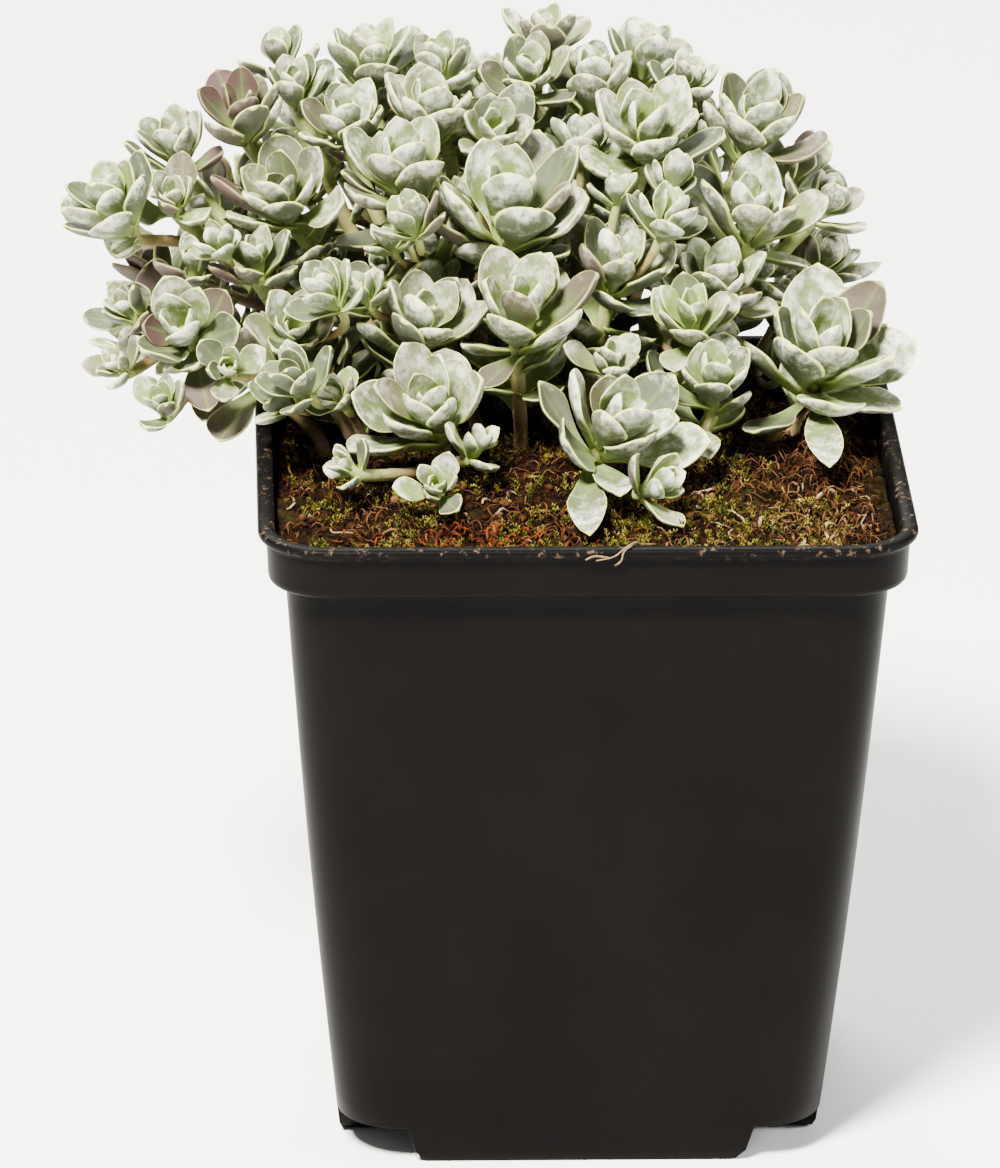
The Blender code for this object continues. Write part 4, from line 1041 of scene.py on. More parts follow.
def aimed_blade(start: Vector, tip: Vector, axis: Vector, half_width: float, bend: float,
                short: bool = False) -> Blade:
    """Shape an older leaf that runs from its root to a tip, a little arched.

    Args:
        start: Its root.
        tip: Its tip.
        axis: The direction of the stem.
        half_width: Half its width.
        bend: Degrees of curl.
        short: Whether it has the sections of a short leaf.

    Returns:
        The leaf.
    """
    along = (tip - start).normalized()
    face = UP - along * along.z
    if face.length < 0.35:
        face = axis - along * along.dot(axis)
    face.normalize()
    curl = math.radians(bend)
    chord = math.sin(curl / 2.0) / (curl / 2.0)
    away = along * math.cos(curl / 2.0) - face * math.sin(curl / 2.0)
    lifted = face * math.cos(curl / 2.0) + along * math.sin(curl / 2.0)
    return Blade(start, away, lifted, (tip - start).length / chord, half_width,
                 max(1.0, 0.28 * half_width), curl, short)


def clear_of_ground(points: list[Vector]) -> bool:
    """Test whether points are over the soil inside the pot, and clear of the lip outside.

    Args:
        points: The points.

    Returns:
        Whether every one is clear.
    """
    for point in points:
        reach = max(abs(point.x), abs(point.y))
        if reach < 42.0 and point.z < soil_height(point.x, point.y) + GAP + 0.2:
            return False
        if LIP_INNER_HALF <= reach <= LIP_OUTER_HALF and 86.0 < point.z < POT_HEIGHT + GAP:
            return False
        if reach < LIP_INNER_HALF and point.z < 88.0:
            return False
        if reach > LIP_OUTER_HALF and point.z < 84.0:
            return False
    return True


# What is tried to find room for a leaf: degrees of closing, of turning, and the shrink.
TRIES = (
    (0.0, 0.0, 1.0), (8.0, 0.0, 1.0), (0.0, 12.0, 1.0), (0.0, -12.0, 1.0), (-8.0, 0.0, 1.0),
    (16.0, 0.0, 1.0), (8.0, 20.0, 0.96), (8.0, -20.0, 0.96), (-14.0, 0.0, 0.94),
    (24.0, 0.0, 0.94), (14.0, 0.0, 0.86), (6.0, 22.0, 0.86), (6.0, -22.0, 0.86),
    (-14.0, 14.0, 0.86), (-14.0, -14.0, 0.86), (26.0, 0.0, 0.80), (20.0, 16.0, 0.78),
    (20.0, -16.0, 0.78), (8.0, 0.0, 0.70), (-10.0, 0.0, 0.66), (24.0, 0.0, 0.62),
    (20.0, 24.0, 0.58), (20.0, -24.0, 0.58),
)

# What is tried for an aimed leaf: how far its tip moves across and up.
SHIFTS = ((0.0, 0.0), (0.0, 1.2), (0.0, -1.2), (1.6, 0.6), (-1.6, 0.6),
          (0.0, 2.4), (3.0, 1.0), (-3.0, 1.0), (0.0, 3.6), (0.0, -2.4))


def fits(crowd: Crowd, shoot: Shoot, blade: Blade) -> bool:
    """Test whether a leaf is clear of the soil, the pot, the other pieces and its own head.

    Args:
        crowd: What is in place.
        shoot: The shoot that it grows from.
        blade: The leaf.

    Returns:
        Whether it has room.
    """
    solid = blade.solid(GAP)
    if not clear_of_ground(solid[0]) or crowd.crosses(solid, shoot.name, shoot.order):
        return False
    return not shoot.own.crosses(blade.solid(OWN_GAP))


def add_leaf(crowd: Crowd, shoot: Shoot, band: int, column: int, blade: Blade) -> bool:
    """Keep a leaf on its quad and among what is in place, if it has room.

    Args:
        crowd: What is in place.
        shoot: The shoot that it grows from.
        band: The lower ring of its quad.
        column: The number of its quad round the stem.
        blade: The leaf.

    Returns:
        Whether it had room.
    """
    if not fits(crowd, shoot, blade):
        return False
    shoot.sprouts[(band, column)] = blade
    for place in (crowd, shoot.own):
        place.add(shoot.name, shoot.order, blade.solid())
    return True


def grow_rosettes(shoots: list[Shoot], crowd: Crowd) -> None:
    """Place the leaves of every rosette, the young ones first, clear of each other.

    Args:
        shoots: The shoots.
        crowd: What is in place.
    """
    for step in range(3):
        for number, shoot in enumerate(shoots):
            level = shoot.levels - 1 - step
            for count in range(shoot.whorl if level >= 0 else 0):
                column = (2 * count + level) % shoot.sides
                seed = random.Random(1000 * number + 10 * level + count)
                draw = (seed.random(), seed.random(), seed.random())
                for change in TRIES:
                    blade = rosette_blade(shoot, level, column, change, draw)
                    if add_leaf(crowd, shoot, shoot.bands["level%d" % level], column, blade):
                        break


def grow_strays(shoots: list[Shoot], grown: list[Grown], crowd: Crowd) -> None:
    """Place the older leaves whose tips are seen, each on the nearest band of its stem.

    Args:
        shoots: The shoots.
        grown: The nodes with their older leaves.
        crowd: What is in place.
    """
    for name, heads, strays in grown:
        for stray in strays:
            shoot = next(shoot for shoot in shoots
                         if shoot.name == name and shoot.order == stray.head)
            kinds = ["collar%d" % below for below in range(1, shoot.collars + 1)]
            kinds = ["node"] + kinds if stray.along < 0.8 else kinds + ["node"]
            bands = [shoot.bands[kind] for kind in kinds if kind in shoot.bands]
            place_stray(shoot, crowd, bands, stray)


def place_stray(shoot: Shoot, crowd: Crowd, bands: list[int], stray: Stray) -> None:
    """Place one aimed leaf on the first band that lets it through.

    Args:
        shoot: The shoot that it grows from.
        crowd: What is in place.
        bands: The bands to try.
        stray: The leaf, with where its tip is seen.
    """
    tip = seen_point(stray.across, stray.down, stray.deep)
    for band in bands:
        centre, axis = shoot.centres[band]
        direction = tip - centre
        direction = (direction - axis * direction.dot(axis)).normalized()
        column = shoot.free_column(band, direction)
        if column is None:
            continue
        middle, radial, axis = shoot.root(band, column)
        if radial.dot(direction) < 0.3:
            continue
        for shrink in (1.0, 0.88, 0.76, 0.62):
            half_width = stray.half_width * (0.4 + 0.6 * shrink)
            for shift, lift in SHIFTS:
                end = middle + (tip + Vector((shift, 0.0, lift)) - middle) * shrink
                bend = 16.0 if end.z > middle.z + 2.0 else -14.0
                blade = aimed_blade(middle, end, axis, half_width, bend)
                if add_leaf(crowd, shoot, band, column, blade):
                    return


def grow_old_leaves(shoots: list[Shoot], crowd: Crowd) -> None:
    """Place older leaves down the bare stems wherever there is still room for one.

    Args:
        shoots: The shoots.
        crowd: What is in place.
    """
    for number, shoot in enumerate(shoots):
        if "node" not in shoot.bands:
            continue
        band = shoot.bands["node"]
        seed = random.Random(7000 + 10 * number)
        for turn in range(2):
            angle = seed.random() * 2.0 * math.pi
            column = shoot.free_column(band, Vector((math.cos(angle), math.sin(angle), 0.0)))
            if column is None:
                continue
            middle, radial, axis = shoot.root(band, column)
            for length in (9.5, 8.0, 6.5):
                rise = 0.25 + 0.3 * seed.random()
                end = middle + (radial + Vector((0.0, 0.0, rise))).normalized() * length
                blade = aimed_blade(middle, end, axis, 0.33 * length, 20.0, True)
                if add_leaf(crowd, shoot, band, column, blade):
                    break


def grow_plant() -> tuple[list[Grown], list[Shoot], Crowd]:
    """Grow every stem and leaf by the rules of the solids.

    Returns:
        The nodes with their heads, the shoots, and all that is in place.
    """
    grown = place_heads()
    routes = stem_paths(grown, root_places(grown))
    relax_paths(routes)
    thin_paths(routes)
    old = [(name, stray.head) for name, heads, strays in grown for stray in strays]
    shoots = [Shoot(**vars(route), collars=min(2, old.count((route.name, route.order))))
              for route in routes]
    crowd = Crowd()
    for shoot in shoots:
        crowd.add(shoot.name, shoot.order, shoot.body())
    grow_strays(shoots, grown, crowd)
    grow_rosettes(shoots, crowd)
    grow_old_leaves(shoots, crowd)
    LOG.info("leaves of the solids: %d", sum(len(shoot.sprouts) for shoot in shoots))
    return grown, shoots, crowd


def linear(code: str) -> tuple[float, float, float, float]:
    """Turn an sRGB hex value to a linear colour.

    Args:
        code: The hex value, with its leading sign.

    Returns:
        Red, green, blue and 1.
    """
    values = []
    for start in (1, 3, 5):
        part = int(code[start:start + 2], 16) / 255.0
        values.append(part / 12.92 if part <= 0.04045 else ((part + 0.055) / 1.055) ** 2.4)
    return (*values, 1.0)


def link(name: str, data: bpy.types.ID, *materials: bpy.types.Material) -> bpy.types.Object:
    """Put a mesh, lamp or camera into the scene.

    Args:
        name: The name of its object.
        data: The mesh, lamp or camera.
        materials: What a mesh is made of.

    Returns:
        The object.
    """
    for material in materials:
        data.materials.append(material)
    item = bpy.data.objects.new(name, data)
    bpy.context.scene.collection.objects.link(item)
    return item


@dataclass
class Draft:
    """A mesh in the making, in millimetres, with what the finishes read at each point."""

    points: list[np.ndarray] = field(default_factory=list)
    faces: list[Face] = field(default_factory=list)
    slots: list[int] = field(default_factory=list)
    marks: dict[str, list[np.ndarray]] = field(
        default_factory=lambda: {"leaf_place": [], "leaf_local": [], "leaf_tint": []})
    count: int = 0

    def add(self, points: np.ndarray, faces: list[Face], slot: Slot, place: np.ndarray,
            local: np.ndarray, tint: Point) -> None:
        """Add one lump of points and faces with its marks.

        Args:
            points: The points.
            faces: The faces, by the numbers of these points.
            slot: Which finish it takes.
            place: How far along, how far across and how much on top each point is.
            local: The place of each point on the leaf, in millimetres.
            tint: Purple, green, and wear together with painted shade, or the colour of litter.
        """
        self.points.append(points)
        self.faces.extend(tuple(corner + self.count for corner in face) for face in faces)
        self.slots.extend([slot.value] * len(faces))
        marks = (place, local, np.tile(np.array(tint), (len(points), 1)))
        for kept, mark in zip(self.marks.values(), marks):
            kept.append(mark)
        self.count += len(points)

    def build(self, name: str, materials: list[bpy.types.Material]) -> bpy.types.Object:
        """Make the smooth-shaded object in metres.

        Args:
            name: The name of the piece.
            materials: Its finishes, in the order of the slots.

        Returns:
            The object.
        """
        mesh = bpy.data.meshes.new(name)
        mesh.from_pydata((np.concatenate(self.points) * MM).tolist(), [], self.faces)
        for name_of_mark, values in self.marks.items():
            layer = mesh.attributes.new(name_of_mark, "FLOAT_VECTOR", "POINT")
            layer.data.foreach_set("vector", np.concatenate(values).astype(np.float32).ravel())
        item = link(name, mesh, *materials)
        mesh.polygons.foreach_set("material_index", self.slots)
        mesh.shade_smooth()
        return item


@dataclass(frozen=True)
class LeafForm:
    """How a fine leaf is cut, cupped and thickened, for a given number of rows and columns."""

    rows: int = 12
    columns: int = 8
    cup: float = 0.20

    def grow(self, draft: Draft, blade: Blade, tint: Point, seed: int) -> None:
        """Add one fine leaf that follows a blade's mid-line.

        Args:
            draft: The mesh that takes it.
            blade: The leaf.
            tint: Purple, green, and wear together with painted shade.
            seed: The seed of its own random draws.
        """
        draw = random.Random(seed)
        # Outline: u runs from root to tip, and half is the half width there.
        part = np.linspace(0.0, 1.0, self.rows)
        u = 1.0 - (1.0 - part) ** 1.3
        rise = np.clip((u - 0.04) / (0.60 if blade.short else 0.68), 0.0, 1.0)
        rise = rise * rise * (3.0 - 2.0 * rise)
        width = 0.22 + 0.78 * rise ** (1.1 if blade.short else 1.3)
        point = 1.5 + 0.7 * draw.random()
        width = width * (1.0 - np.clip((u - 0.66) / 0.345, 0.0, 0.985) ** point) ** 0.60
        phase = draw.random() * 6.28
        half = blade.half_width * width * (1.0 + 0.025 * np.sin(17.0 * u + phase))
        deep = 0.82 + 0.2 * np.sin(math.pi * u) - 0.42 * np.clip((u - 0.7) / 0.3, 0.0, 1.0) ** 2
        thick = blade.thick * deep
        # Mid-line: the curl of the blade, with a sideways sweep and a twist.
        along = np.array(blade.along)
        face = np.array(blade.face)
        side = np.cross(along, face)
        turn = blade.curl * u
        bend = blade.curl if abs(blade.curl) > 1e-4 else 1e-4
        line = np.array(blade.start) - along * 0.35
        line = line + (np.outer(np.sin(turn) / bend, along)
                       + np.outer((1.0 - np.cos(turn)) / bend, face)) * blade.length
        sweep = (draw.random() - 0.5) * 0.14 * blade.length
        line = line + np.outer(sweep * u * u, side)
        lift = np.outer(np.cos(turn), face) - np.outer(np.sin(turn), along)
        twist = (draw.random() - 0.5) * 0.26 + (draw.random() - 0.5) * 0.6 * u
        across = np.outer(np.cos(twist), side) + lift * np.sin(twist)[:, None]
        lift = lift * np.cos(twist)[:, None] - np.outer(np.sin(twist), side)
        # Section: v runs over the upper side from edge to edge, then back under it.
        top = -np.cos(math.pi * np.arange(self.columns + 1) / self.columns)
        low = top[1:-1][::-1]
        v = np.concatenate((top, low))
        upper = np.concatenate((np.ones(len(top)), np.zeros(len(low))))
        hollow = (self.cup + 0.14 * (draw.random() - 0.5)) * half * (0.8 + 0.2 * u)
        wave = 0.07 * half * np.sin(9.0 * u + 2.0 * phase)
        fold = 1.0 - np.abs(v) ** (1.2 + 0.6 * draw.random())
        groove = np.exp(-(v / 0.18) ** 2) * upper
        height = (0.35 * thick + 0.45 * hollow)[:, None] - hollow[:, None] * fold[None, :]
        height = height - 0.08 * thick[:, None] * groove[None, :]
        height = height + wave[:, None] * (v * np.abs(v))[None, :]
        skin = np.clip(1.0 - np.abs(v) ** 2.6, 0.0, 1.0) ** 0.62
        skin = 0.90 * thick[:, None] * skin[None, :] + 0.10
        height = height - skin * (1.0 - upper)[None, :]
        points = line[:, None, :] + across[:, None, :] * (half[:, None] * v[None, :])[:, :, None]
        points = points + lift[:, None, :] * height[:, :, None]
        ahead = along * math.cos(blade.curl) + face * math.sin(blade.curl)
        tip = line[-1] + ahead * 0.02 * blade.length + lift[-1] * height[-1].mean()
        flat = np.vstack((points.reshape(-1, 3), tip[None, :]))
        # Marks: what the finish reads.
        count = len(v)
        shown = upper.copy()
        shown[[0, self.columns]] = 0.5
        place = np.stack((np.repeat(u, count), np.tile(np.abs(v), self.rows),
                          np.tile(shown, self.rows)), axis=1)
        mark = draw.random() * 60.0
        local = np.stack(((half[:, None] * v[None, :]).ravel(),
                          np.repeat(u * blade.length, count),
                          np.tile(mark + 0.6 * (1.0 - shown), self.rows)), axis=1)
        draft.add(flat, tube_faces(self.rows, count), Slot.LEAF,
                  np.vstack((place, [[1.0, 0.0, 0.6]])),
                  np.vstack((local, [[0.0, blade.length, mark]])), tint)


def smooth_line(points: list[Vector], radii: list[float],
                pace: float) -> tuple[np.ndarray, np.ndarray]:
    """Lay a smooth line through points.

    Args:
        points: The points.
        radii: The radius at each point.
        pace: About how long a step is.

    Returns:
        The points of the line and its radii.
    """
    knots = [np.array(point) for point in points]
    line = []
    thick = []
    for spot in range(len(knots) - 1):
        before = knots[max(spot - 1, 0)]
        here = knots[spot]
        after = knots[spot + 1]
        beyond = knots[min(spot + 2, len(knots) - 1)]
        count = max(1, int(round(np.linalg.norm(after - here) / pace)))
        for step in range(count):
            t = step / count
            line.append(0.5 * (2.0 * here + (after - before) * t
                               + (2.0 * before - 5.0 * here + 4.0 * after - beyond) * t * t
                               + (3.0 * here - before - 3.0 * after + beyond) * t ** 3))
            thick.append(radii[spot] + (radii[spot + 1] - radii[spot]) * t)
    return np.array(line + [knots[-1]]), np.array(thick + [radii[-1]])


def add_tube(draft: Draft, route: tuple[np.ndarray, np.ndarray], sides: int, slot: Slot,
             tint: Point, seed: float, flat: float = 1.0) -> None:
    """Add a closed tube along a line.

    Args:
        draft: The mesh that takes it.
        route: The points of the line and its radii.
        sides: Points round the tube.
        slot: Which finish it takes.
        tint: Purple, green, and wear together with painted shade, or the colour of litter.
        seed: Where its pattern starts.
        flat: Thickness for width, under 1 for a ribbon.
    """
    line, thick = route
    count = len(line)
    ahead = np.gradient(line, axis=0)
    ahead /= np.linalg.norm(ahead, axis=1)[:, None] + 1e-9
    across = np.cross(ahead[0], (0.3, 0.2, 1.0) if abs(ahead[0][2]) < 0.9 else (1.0, 0.0, 0.0))
    across /= np.linalg.norm(across)
    angle = 2.0 * math.pi * np.arange(sides) / sides
    rings = []
    for spot in range(count):
        across = across - ahead[spot] * (across @ ahead[spot])
        across /= np.linalg.norm(across)
        up = np.cross(ahead[spot], across)
        rings.append(line[spot] + thick[spot] * (np.outer(np.cos(angle), across)
                                                 + flat * np.outer(np.sin(angle), up)))
    length = np.concatenate(([0.0], np.cumsum(np.linalg.norm(np.diff(line, axis=0), axis=1))))
    around = np.arange(sides) / sides
    place = np.stack((np.repeat(length / max(length[-1], 1e-6), sides), np.tile(around, count),
                      np.ones(count * sides)), axis=1)
    local = np.stack((np.tile(np.abs(around - 0.5) * 6.0, count), np.repeat(length, sides),
                      np.full(count * sides, seed)), axis=1)
    draft.add(np.concatenate(rings), tube_faces(count, sides, False), slot, place, local, tint)


@dataclass(frozen=True)
class Tinted:
    """A part of the view whose leaves get a tint: purple, green, and wear together with painted
    shade.
    """

    across: float
    down: float
    reach: float
    purple: float = 0.0
    green: float = 0.0
    wear_and_shade: float = 0.0


# A high last number with no purple paints dark green leaves where leaves lie in shade among the
# heads: painted shade. The wide last entry paints shade over the left of the plant.
TINTED = (
    Tinted(228, 96, 34, 0.85, 0.0, 0.3), Tinted(240, 78, 16, 1.0, 0.0, 0.3),
    Tinted(225, 178, 38, 0.8, 0.0, 0.4), Tinted(222, 205, 28, 0.65, 0.0, 0.3),
    Tinted(152, 273, 32, 0.9, 0.0, 0.3), Tinted(222, 292, 28, 0.7, 0.0, 0.2),
    Tinted(252, 322, 14, 0.6, 0.0, 0.0), Tinted(145, 325, 20, 0.5, 0.0, 0.5),
    Tinted(205, 400, 22, 0.5, 0.0, 0.3), Tinted(332, 325, 16, 0.5, 0.0, 0.4),
    Tinted(345, 180, 20, 0.45, 0.0, 0.3), Tinted(432, 212, 24, 0.45, 0.0, 0.5),
    Tinted(490, 385, 16, 0.6, 0.0, 0.3), Tinted(802, 240, 24, 0.35, 0.0, 0.4),
    Tinted(806, 146, 20, 0.35, 0.0, 0.4), Tinted(866, 318, 28, 0.4, 0.15, 0.6),
    Tinted(752, 330, 18, 0.4, 0.0, 0.5), Tinted(690, 308, 36, 0.0, 1.0, -0.3),
    Tinted(712, 378, 26, 0.0, 0.45, -0.1), Tinted(112, 200, 44, 0.0, 0.4, 0.0),
    Tinted(150, 402, 30, 0.0, 0.35, 0.1), Tinted(434, 488, 24, 0.0, 0.35, -0.2),
    Tinted(660, 485, 30, 0.0, 0.4, -0.2), Tinted(370, 52, 40, 0.0, 0.35, 0.0),
    Tinted(555, 30, 40, 0.0, 0.3, 0.0), Tinted(285, 170, 26, 0.0, 0.2, 0.6),
    Tinted(625, 222, 30, 0.0, 0.0, 0.9), Tinted(540, 402, 28, 0.0, 0.1, 0.9),
    Tinted(275, 388, 30, 0.0, 0.3, 0.8), Tinted(235, 432, 30, 0.0, 0.3, 0.8),
    Tinted(340, 240, 28, 0.0, 0.1, 0.8), Tinted(410, 442, 30, 0.0, -0.2, -0.2),
    Tinted(285, 205, 26, 0.0, -0.3, -0.3), Tinted(570, 226, 24, 0.0, -0.2, -0.3),
    Tinted(612, 120, 30, 0.0, -0.2, -0.3), Tinted(735, 285, 26, 0.0, -0.2, -0.2),
    Tinted(285, 330, 125, 0.0, 0.0, 0.30),
)
SEEN_DEPTH = 45.0


def leaf_tint(blade: Blade, age: float, seed: int) -> Point:
    """Choose the tint of a leaf from its age and where it is seen.

    Args:
        blade: The leaf.
        age: Its age, 0 to 1.
        seed: The seed of its own random draws.

    Returns:
        How purple, how green, and how worn it is together with painted shade, each 0 to 1.
    """
    draw = random.Random(seed)
    middle = blade.middle(0.65)[0]
    across, down = seen_place(middle)
    purple = max(0.0, draw.gauss(0.16, 0.17)) * (0.2 + 0.8 * age)
    if draw.random() < 0.22 * age:
        purple += 0.6 * draw.random()
    green = 0.08 + 0.34 * draw.random() + 0.16 * (1.0 - age)
    wear_and_shade = 0.22 + 0.60 * age * draw.random() + 0.12 * age
    if draw.random() < 0.28 * age:
        wear_and_shade += 0.50
        purple *= 0.3
    for tinted in TINTED:
        away = math.hypot(across - tinted.across, down - tinted.down) / tinted.reach
        if away < 1.0 and middle.y < SEEN_DEPTH:
            strength = 1.0 - blend(away, 0.55, 1.0)
            purple += tinted.purple * strength
            green += tinted.green * strength
            wear_and_shade += tinted.wear_and_shade * strength
    return (min(1.0, max(0.0, purple)), min(1.0, max(0.0, green)), min(1.0, max(0.0, wear_and_shade)))


# A ring of leaves: how many, then length, opening, half width and curl of each.
Whorl = tuple[int, float, float, float, float]


@dataclass
class FineStem:
    """The fine piece that stands for one leafy stem of the solids."""

    name: str
    shoots: list[tuple[int, Shoot]]
    draft: Draft = field(default_factory=Draft)
    form: LeafForm = LeafForm()
    small: LeafForm = LeafForm(rows=10, columns=8, cup=0.30)
    whorls: tuple[Whorl, ...] = (
        (2, 1.00, 17.0, 0.29, 4.0), (2, 0.82, 10.0, 0.22, 3.0), (1, 0.60, 5.0, 0.15, 2.0))

    def heart(self, number: int, shoot: Shoot) -> None:
        """Add the young leaves that stand closed round the tip of a shoot.

        Args:
            number: The number of the shoot.
            shoot: The shoot.
        """
        head = shoot.head
        size = head.size
        top = head.base + head.axis * (shoot.step * shoot.levels)
        for ring, (count, length, opening, half, curl) in enumerate(self.whorls):
            for spot in range(count):
                seed = 50000 + 100 * number + 10 * ring + spot
                draw = random.Random(seed)
                angle = head.turn + 0.6 + 1.25 * ring + 2.0 * math.pi * spot / count
                radial = turned(head.axis, head.side, angle + 0.3 * (draw.random() - 0.5))
                lean = math.radians(opening + 8.0 * (draw.random() - 0.5))
                start = top + radial * (0.10 * size) + head.axis * (0.03 * size * ring)
                blade = Blade(start, *opened(head.axis, radial, lean),
                              length * size * (0.90 + 0.18 * draw.random()), half * size,
                              0.085 * size, math.radians(curl))
                self.small.grow(self.draft, blade, leaf_tint(blade, 0.15, seed), seed)

    def stem(self, number: int, shoot: Shoot) -> None:
        """Add the bare stem and the core that the leaves stand on.

        Args:
            number: The number of the shoot.
            shoot: The shoot.
        """
        centres = [entry[0] for entry in shoot.rings]
        centres.append(centres[-1].lerp(shoot.tip, 0.4))
        line, thick = smooth_line(centres, [entry[2] for entry in shoot.rings] + [0.15], 0.7)
        walk = np.arange(len(line))
        thick = thick * (1.0 + 0.06 * np.sin(1.9 * walk + number) * np.sin(0.63 * walk))
        add_tube(self.draft, (line, thick), 10, Slot.STEM, (0.0, 0.3, 0.4), 3.0 * number)

    def build(self, finishes: list[bpy.types.Material]) -> bpy.types.Object:
        """Build the piece and put it in the place of its node.

        Args:
            finishes: The finishes of leaves and stems.

        Returns:
            The piece.
        """
        for number, shoot in self.shoots:
            self.stem(number, shoot)
            for (band, column), blade in shoot.sprouts.items():
                seed = 20000 + 400 * number + 20 * band + column
                age = min(1.0, blade.length / shoot.head.size)
                self.form.grow(self.draft, blade, leaf_tint(blade, age, seed), seed)
            self.heart(number, shoot)
        piece = self.draft.build("fine_" + self.name, finishes)
        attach(piece, "root")
        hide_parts(self.name)
        return piece


@dataclass
class Undergrowth:
    """Loose leaves and small side shoots that close the canopy between the heads."""

    shoots: list[Shoot]
    crowd: Crowd
    leaf: LeafForm = LeafForm(rows=9, columns=6, cup=0.22)
    young: LeafForm = LeafForm(rows=8, columns=6, cup=0.30)
    whorls: tuple[Whorl, ...] = (
        (3, 1.22, 66.0, 0.38, 18.0), (3, 1.16, 42.0, 0.36, 14.0), (2, 1.08, 22.0, 0.31, 8.0),
        (2, 0.85, 10.0, 0.24, 4.0))
    centre: Point = (-6.0, 10.0, 88.0)
    spread: tuple[tuple[float, float], ...] = ((-66.0, 44.0), (-38.0, 62.0), (96.0, 138.0))
    tries: int = 5200
    most: int = 150
    widest: float = 9.0
    narrowest: float = 2.6
    apart: float = 6.6
    branch: float = 17.0
    front: float = 14.0
    clearing: tuple[float, float, float] = (345.0, 398.0, 352.0)
    bare_below: float = 388.0

    def __post_init__(self) -> None:
        """Start the random draws and the meshes of the four quarters."""
        self.middle = Vector(self.centre)
        self.draw = random.Random(9021)
        self.drafts = [Draft() for part in range(4)]
        self.leaves = 0
        self.sprigs: list[Vector] = []

    def draft(self, point: Vector) -> Draft:
        """Return the mesh that holds what grows on one quarter of the plant."""
        return self.drafts[(point.x > self.middle.x) + 2 * (point.y > self.middle.y)]

    def keep(self, form: LeafForm, blade: Blade, name: str, seed: int, age: float) -> None:
        """Keep a leaf that has room.

        Args:
            form: How it is cut.
            blade: The leaf.
            name: Whose it is.
            seed: Its seed, less the number of leaves so far.
            age: Its age, 0 to 1.
        """
        seed += self.leaves
        self.crowd.add(name, seed, blade.solid())
        purple, green, wear_and_shade = leaf_tint(blade, age, seed)
        deep = blend((blade.start - self.middle).length, 46.0, 22.0)
        tint = (purple * 0.7, min(1.0, green + 0.12 + 0.3 * deep), wear_and_shade)
        form.grow(self.draft(blade.start), blade, tint, seed)
        self.leaves += 1

    @staticmethod
    def bare_line(shoot: Shoot) -> list[Vector]:
        """Return the middles of a shoot's rings under its head."""
        return [entry[0] for entry in shoot.rings[:-shoot.levels - 2]]

    def loose(self) -> None:
        """Add leaves down the stems, under the heads, wherever there is room for one."""
        for number, shoot in enumerate(self.shoots):
            line = self.bare_line(shoot)
            total = sum(spans_of(line))
            down = 1.6
            turn = shoot.head.turn
            while down < total * 0.82:
                part = 1.0 - down / total
                axis = (along_line(line, min(1.0, part + 0.02))
                        - along_line(line, max(0.0, part - 0.02))).normalized()
                turn += 2.4
                down += self.draw.uniform(1.0, 1.7)
                self.loose_leaf(shoot, along_line(line, part), axis, turn)

    def loose_leaf(self, shoot: Shoot, centre: Vector, axis: Vector, turn: float) -> None:
        """Try one leaf at a place on a stem, at full size and smaller.

        Args:
            shoot: The shoot.
            centre: The middle of the stem there.
            axis: The direction of the stem there.
            turn: The angle round the stem.
        """
        radial = turned(axis, axis.orthogonal().normalized(), turn)
        along, face = opened(axis, radial, math.radians(self.draw.uniform(48.0, 96.0)))
        full = min(11.0, shoot.head.size * self.draw.uniform(0.85, 1.12))
        for shrink in (1.0, 0.82, 0.66):
            length = max(4.6, full * shrink)
            blade = Blade(centre + radial * 0.8, along, face, length, 0.36 * length,
                          max(0.8, 0.1 * length), math.radians(self.draw.uniform(8.0, 34.0)))
            end = blade.middle(0.8)[0]
            if self.in_clearing(end) and seen_place(end)[1] > self.bare_below:
                return
            if fits(self.crowd, shoot, blade):
                self.keep(self.leaf, blade, "loose", 90000, 0.8)
                shoot.own.add(shoot.name, shoot.order, blade.solid())
                return

    def roof(self, point: Vector) -> float:
        """Work out how far out the heads reach in the direction of a point.

        Args:
            point: The point.

        Returns:
            The distance from the middle of the plant.
        """
        way = (point - self.middle).normalized()
        total = 0.0
        weight = 0.0
        for shoot in self.shoots:
            out = shoot.head.heart - self.middle
            near = math.exp(-((1.0 - out.normalized().dot(way)) / 0.045))
            total += near * out.length
            weight += near
        return total / weight if weight > 1e-4 else 0.0

    def in_clearing(self, point: Vector) -> bool:
        """Test whether a point is seen in front of the open peat at the front of the pot.

        Args:
            point: The point.

        Returns:
            Whether it is.
        """
        across, down = seen_place(point)
        side, left_limit, right_limit = self.clearing
        return point.y < self.front and down > (left_limit if across < side else right_limit)

    def hides_head(self, point: Vector) -> bool:
        """Test whether a side shoot at a point would stand in front of a head of the view.

        Args:
            point: The point.

        Returns:
            Whether it would.
        """
        camera = view_axes()[0]
        across, down = seen_place(point)
        for head in [shoot.head for shoot in self.shoots]:
            head_across, head_down = seen_place(head.heart)
            away = math.hypot(across - head_across, down - head_down)
            behind = (head.heart - camera).length >= (point - camera).length
            if behind and away < 0.80 * head.size * VIEW_FOCAL / VIEW_DISTANCE:
                return True
        return False

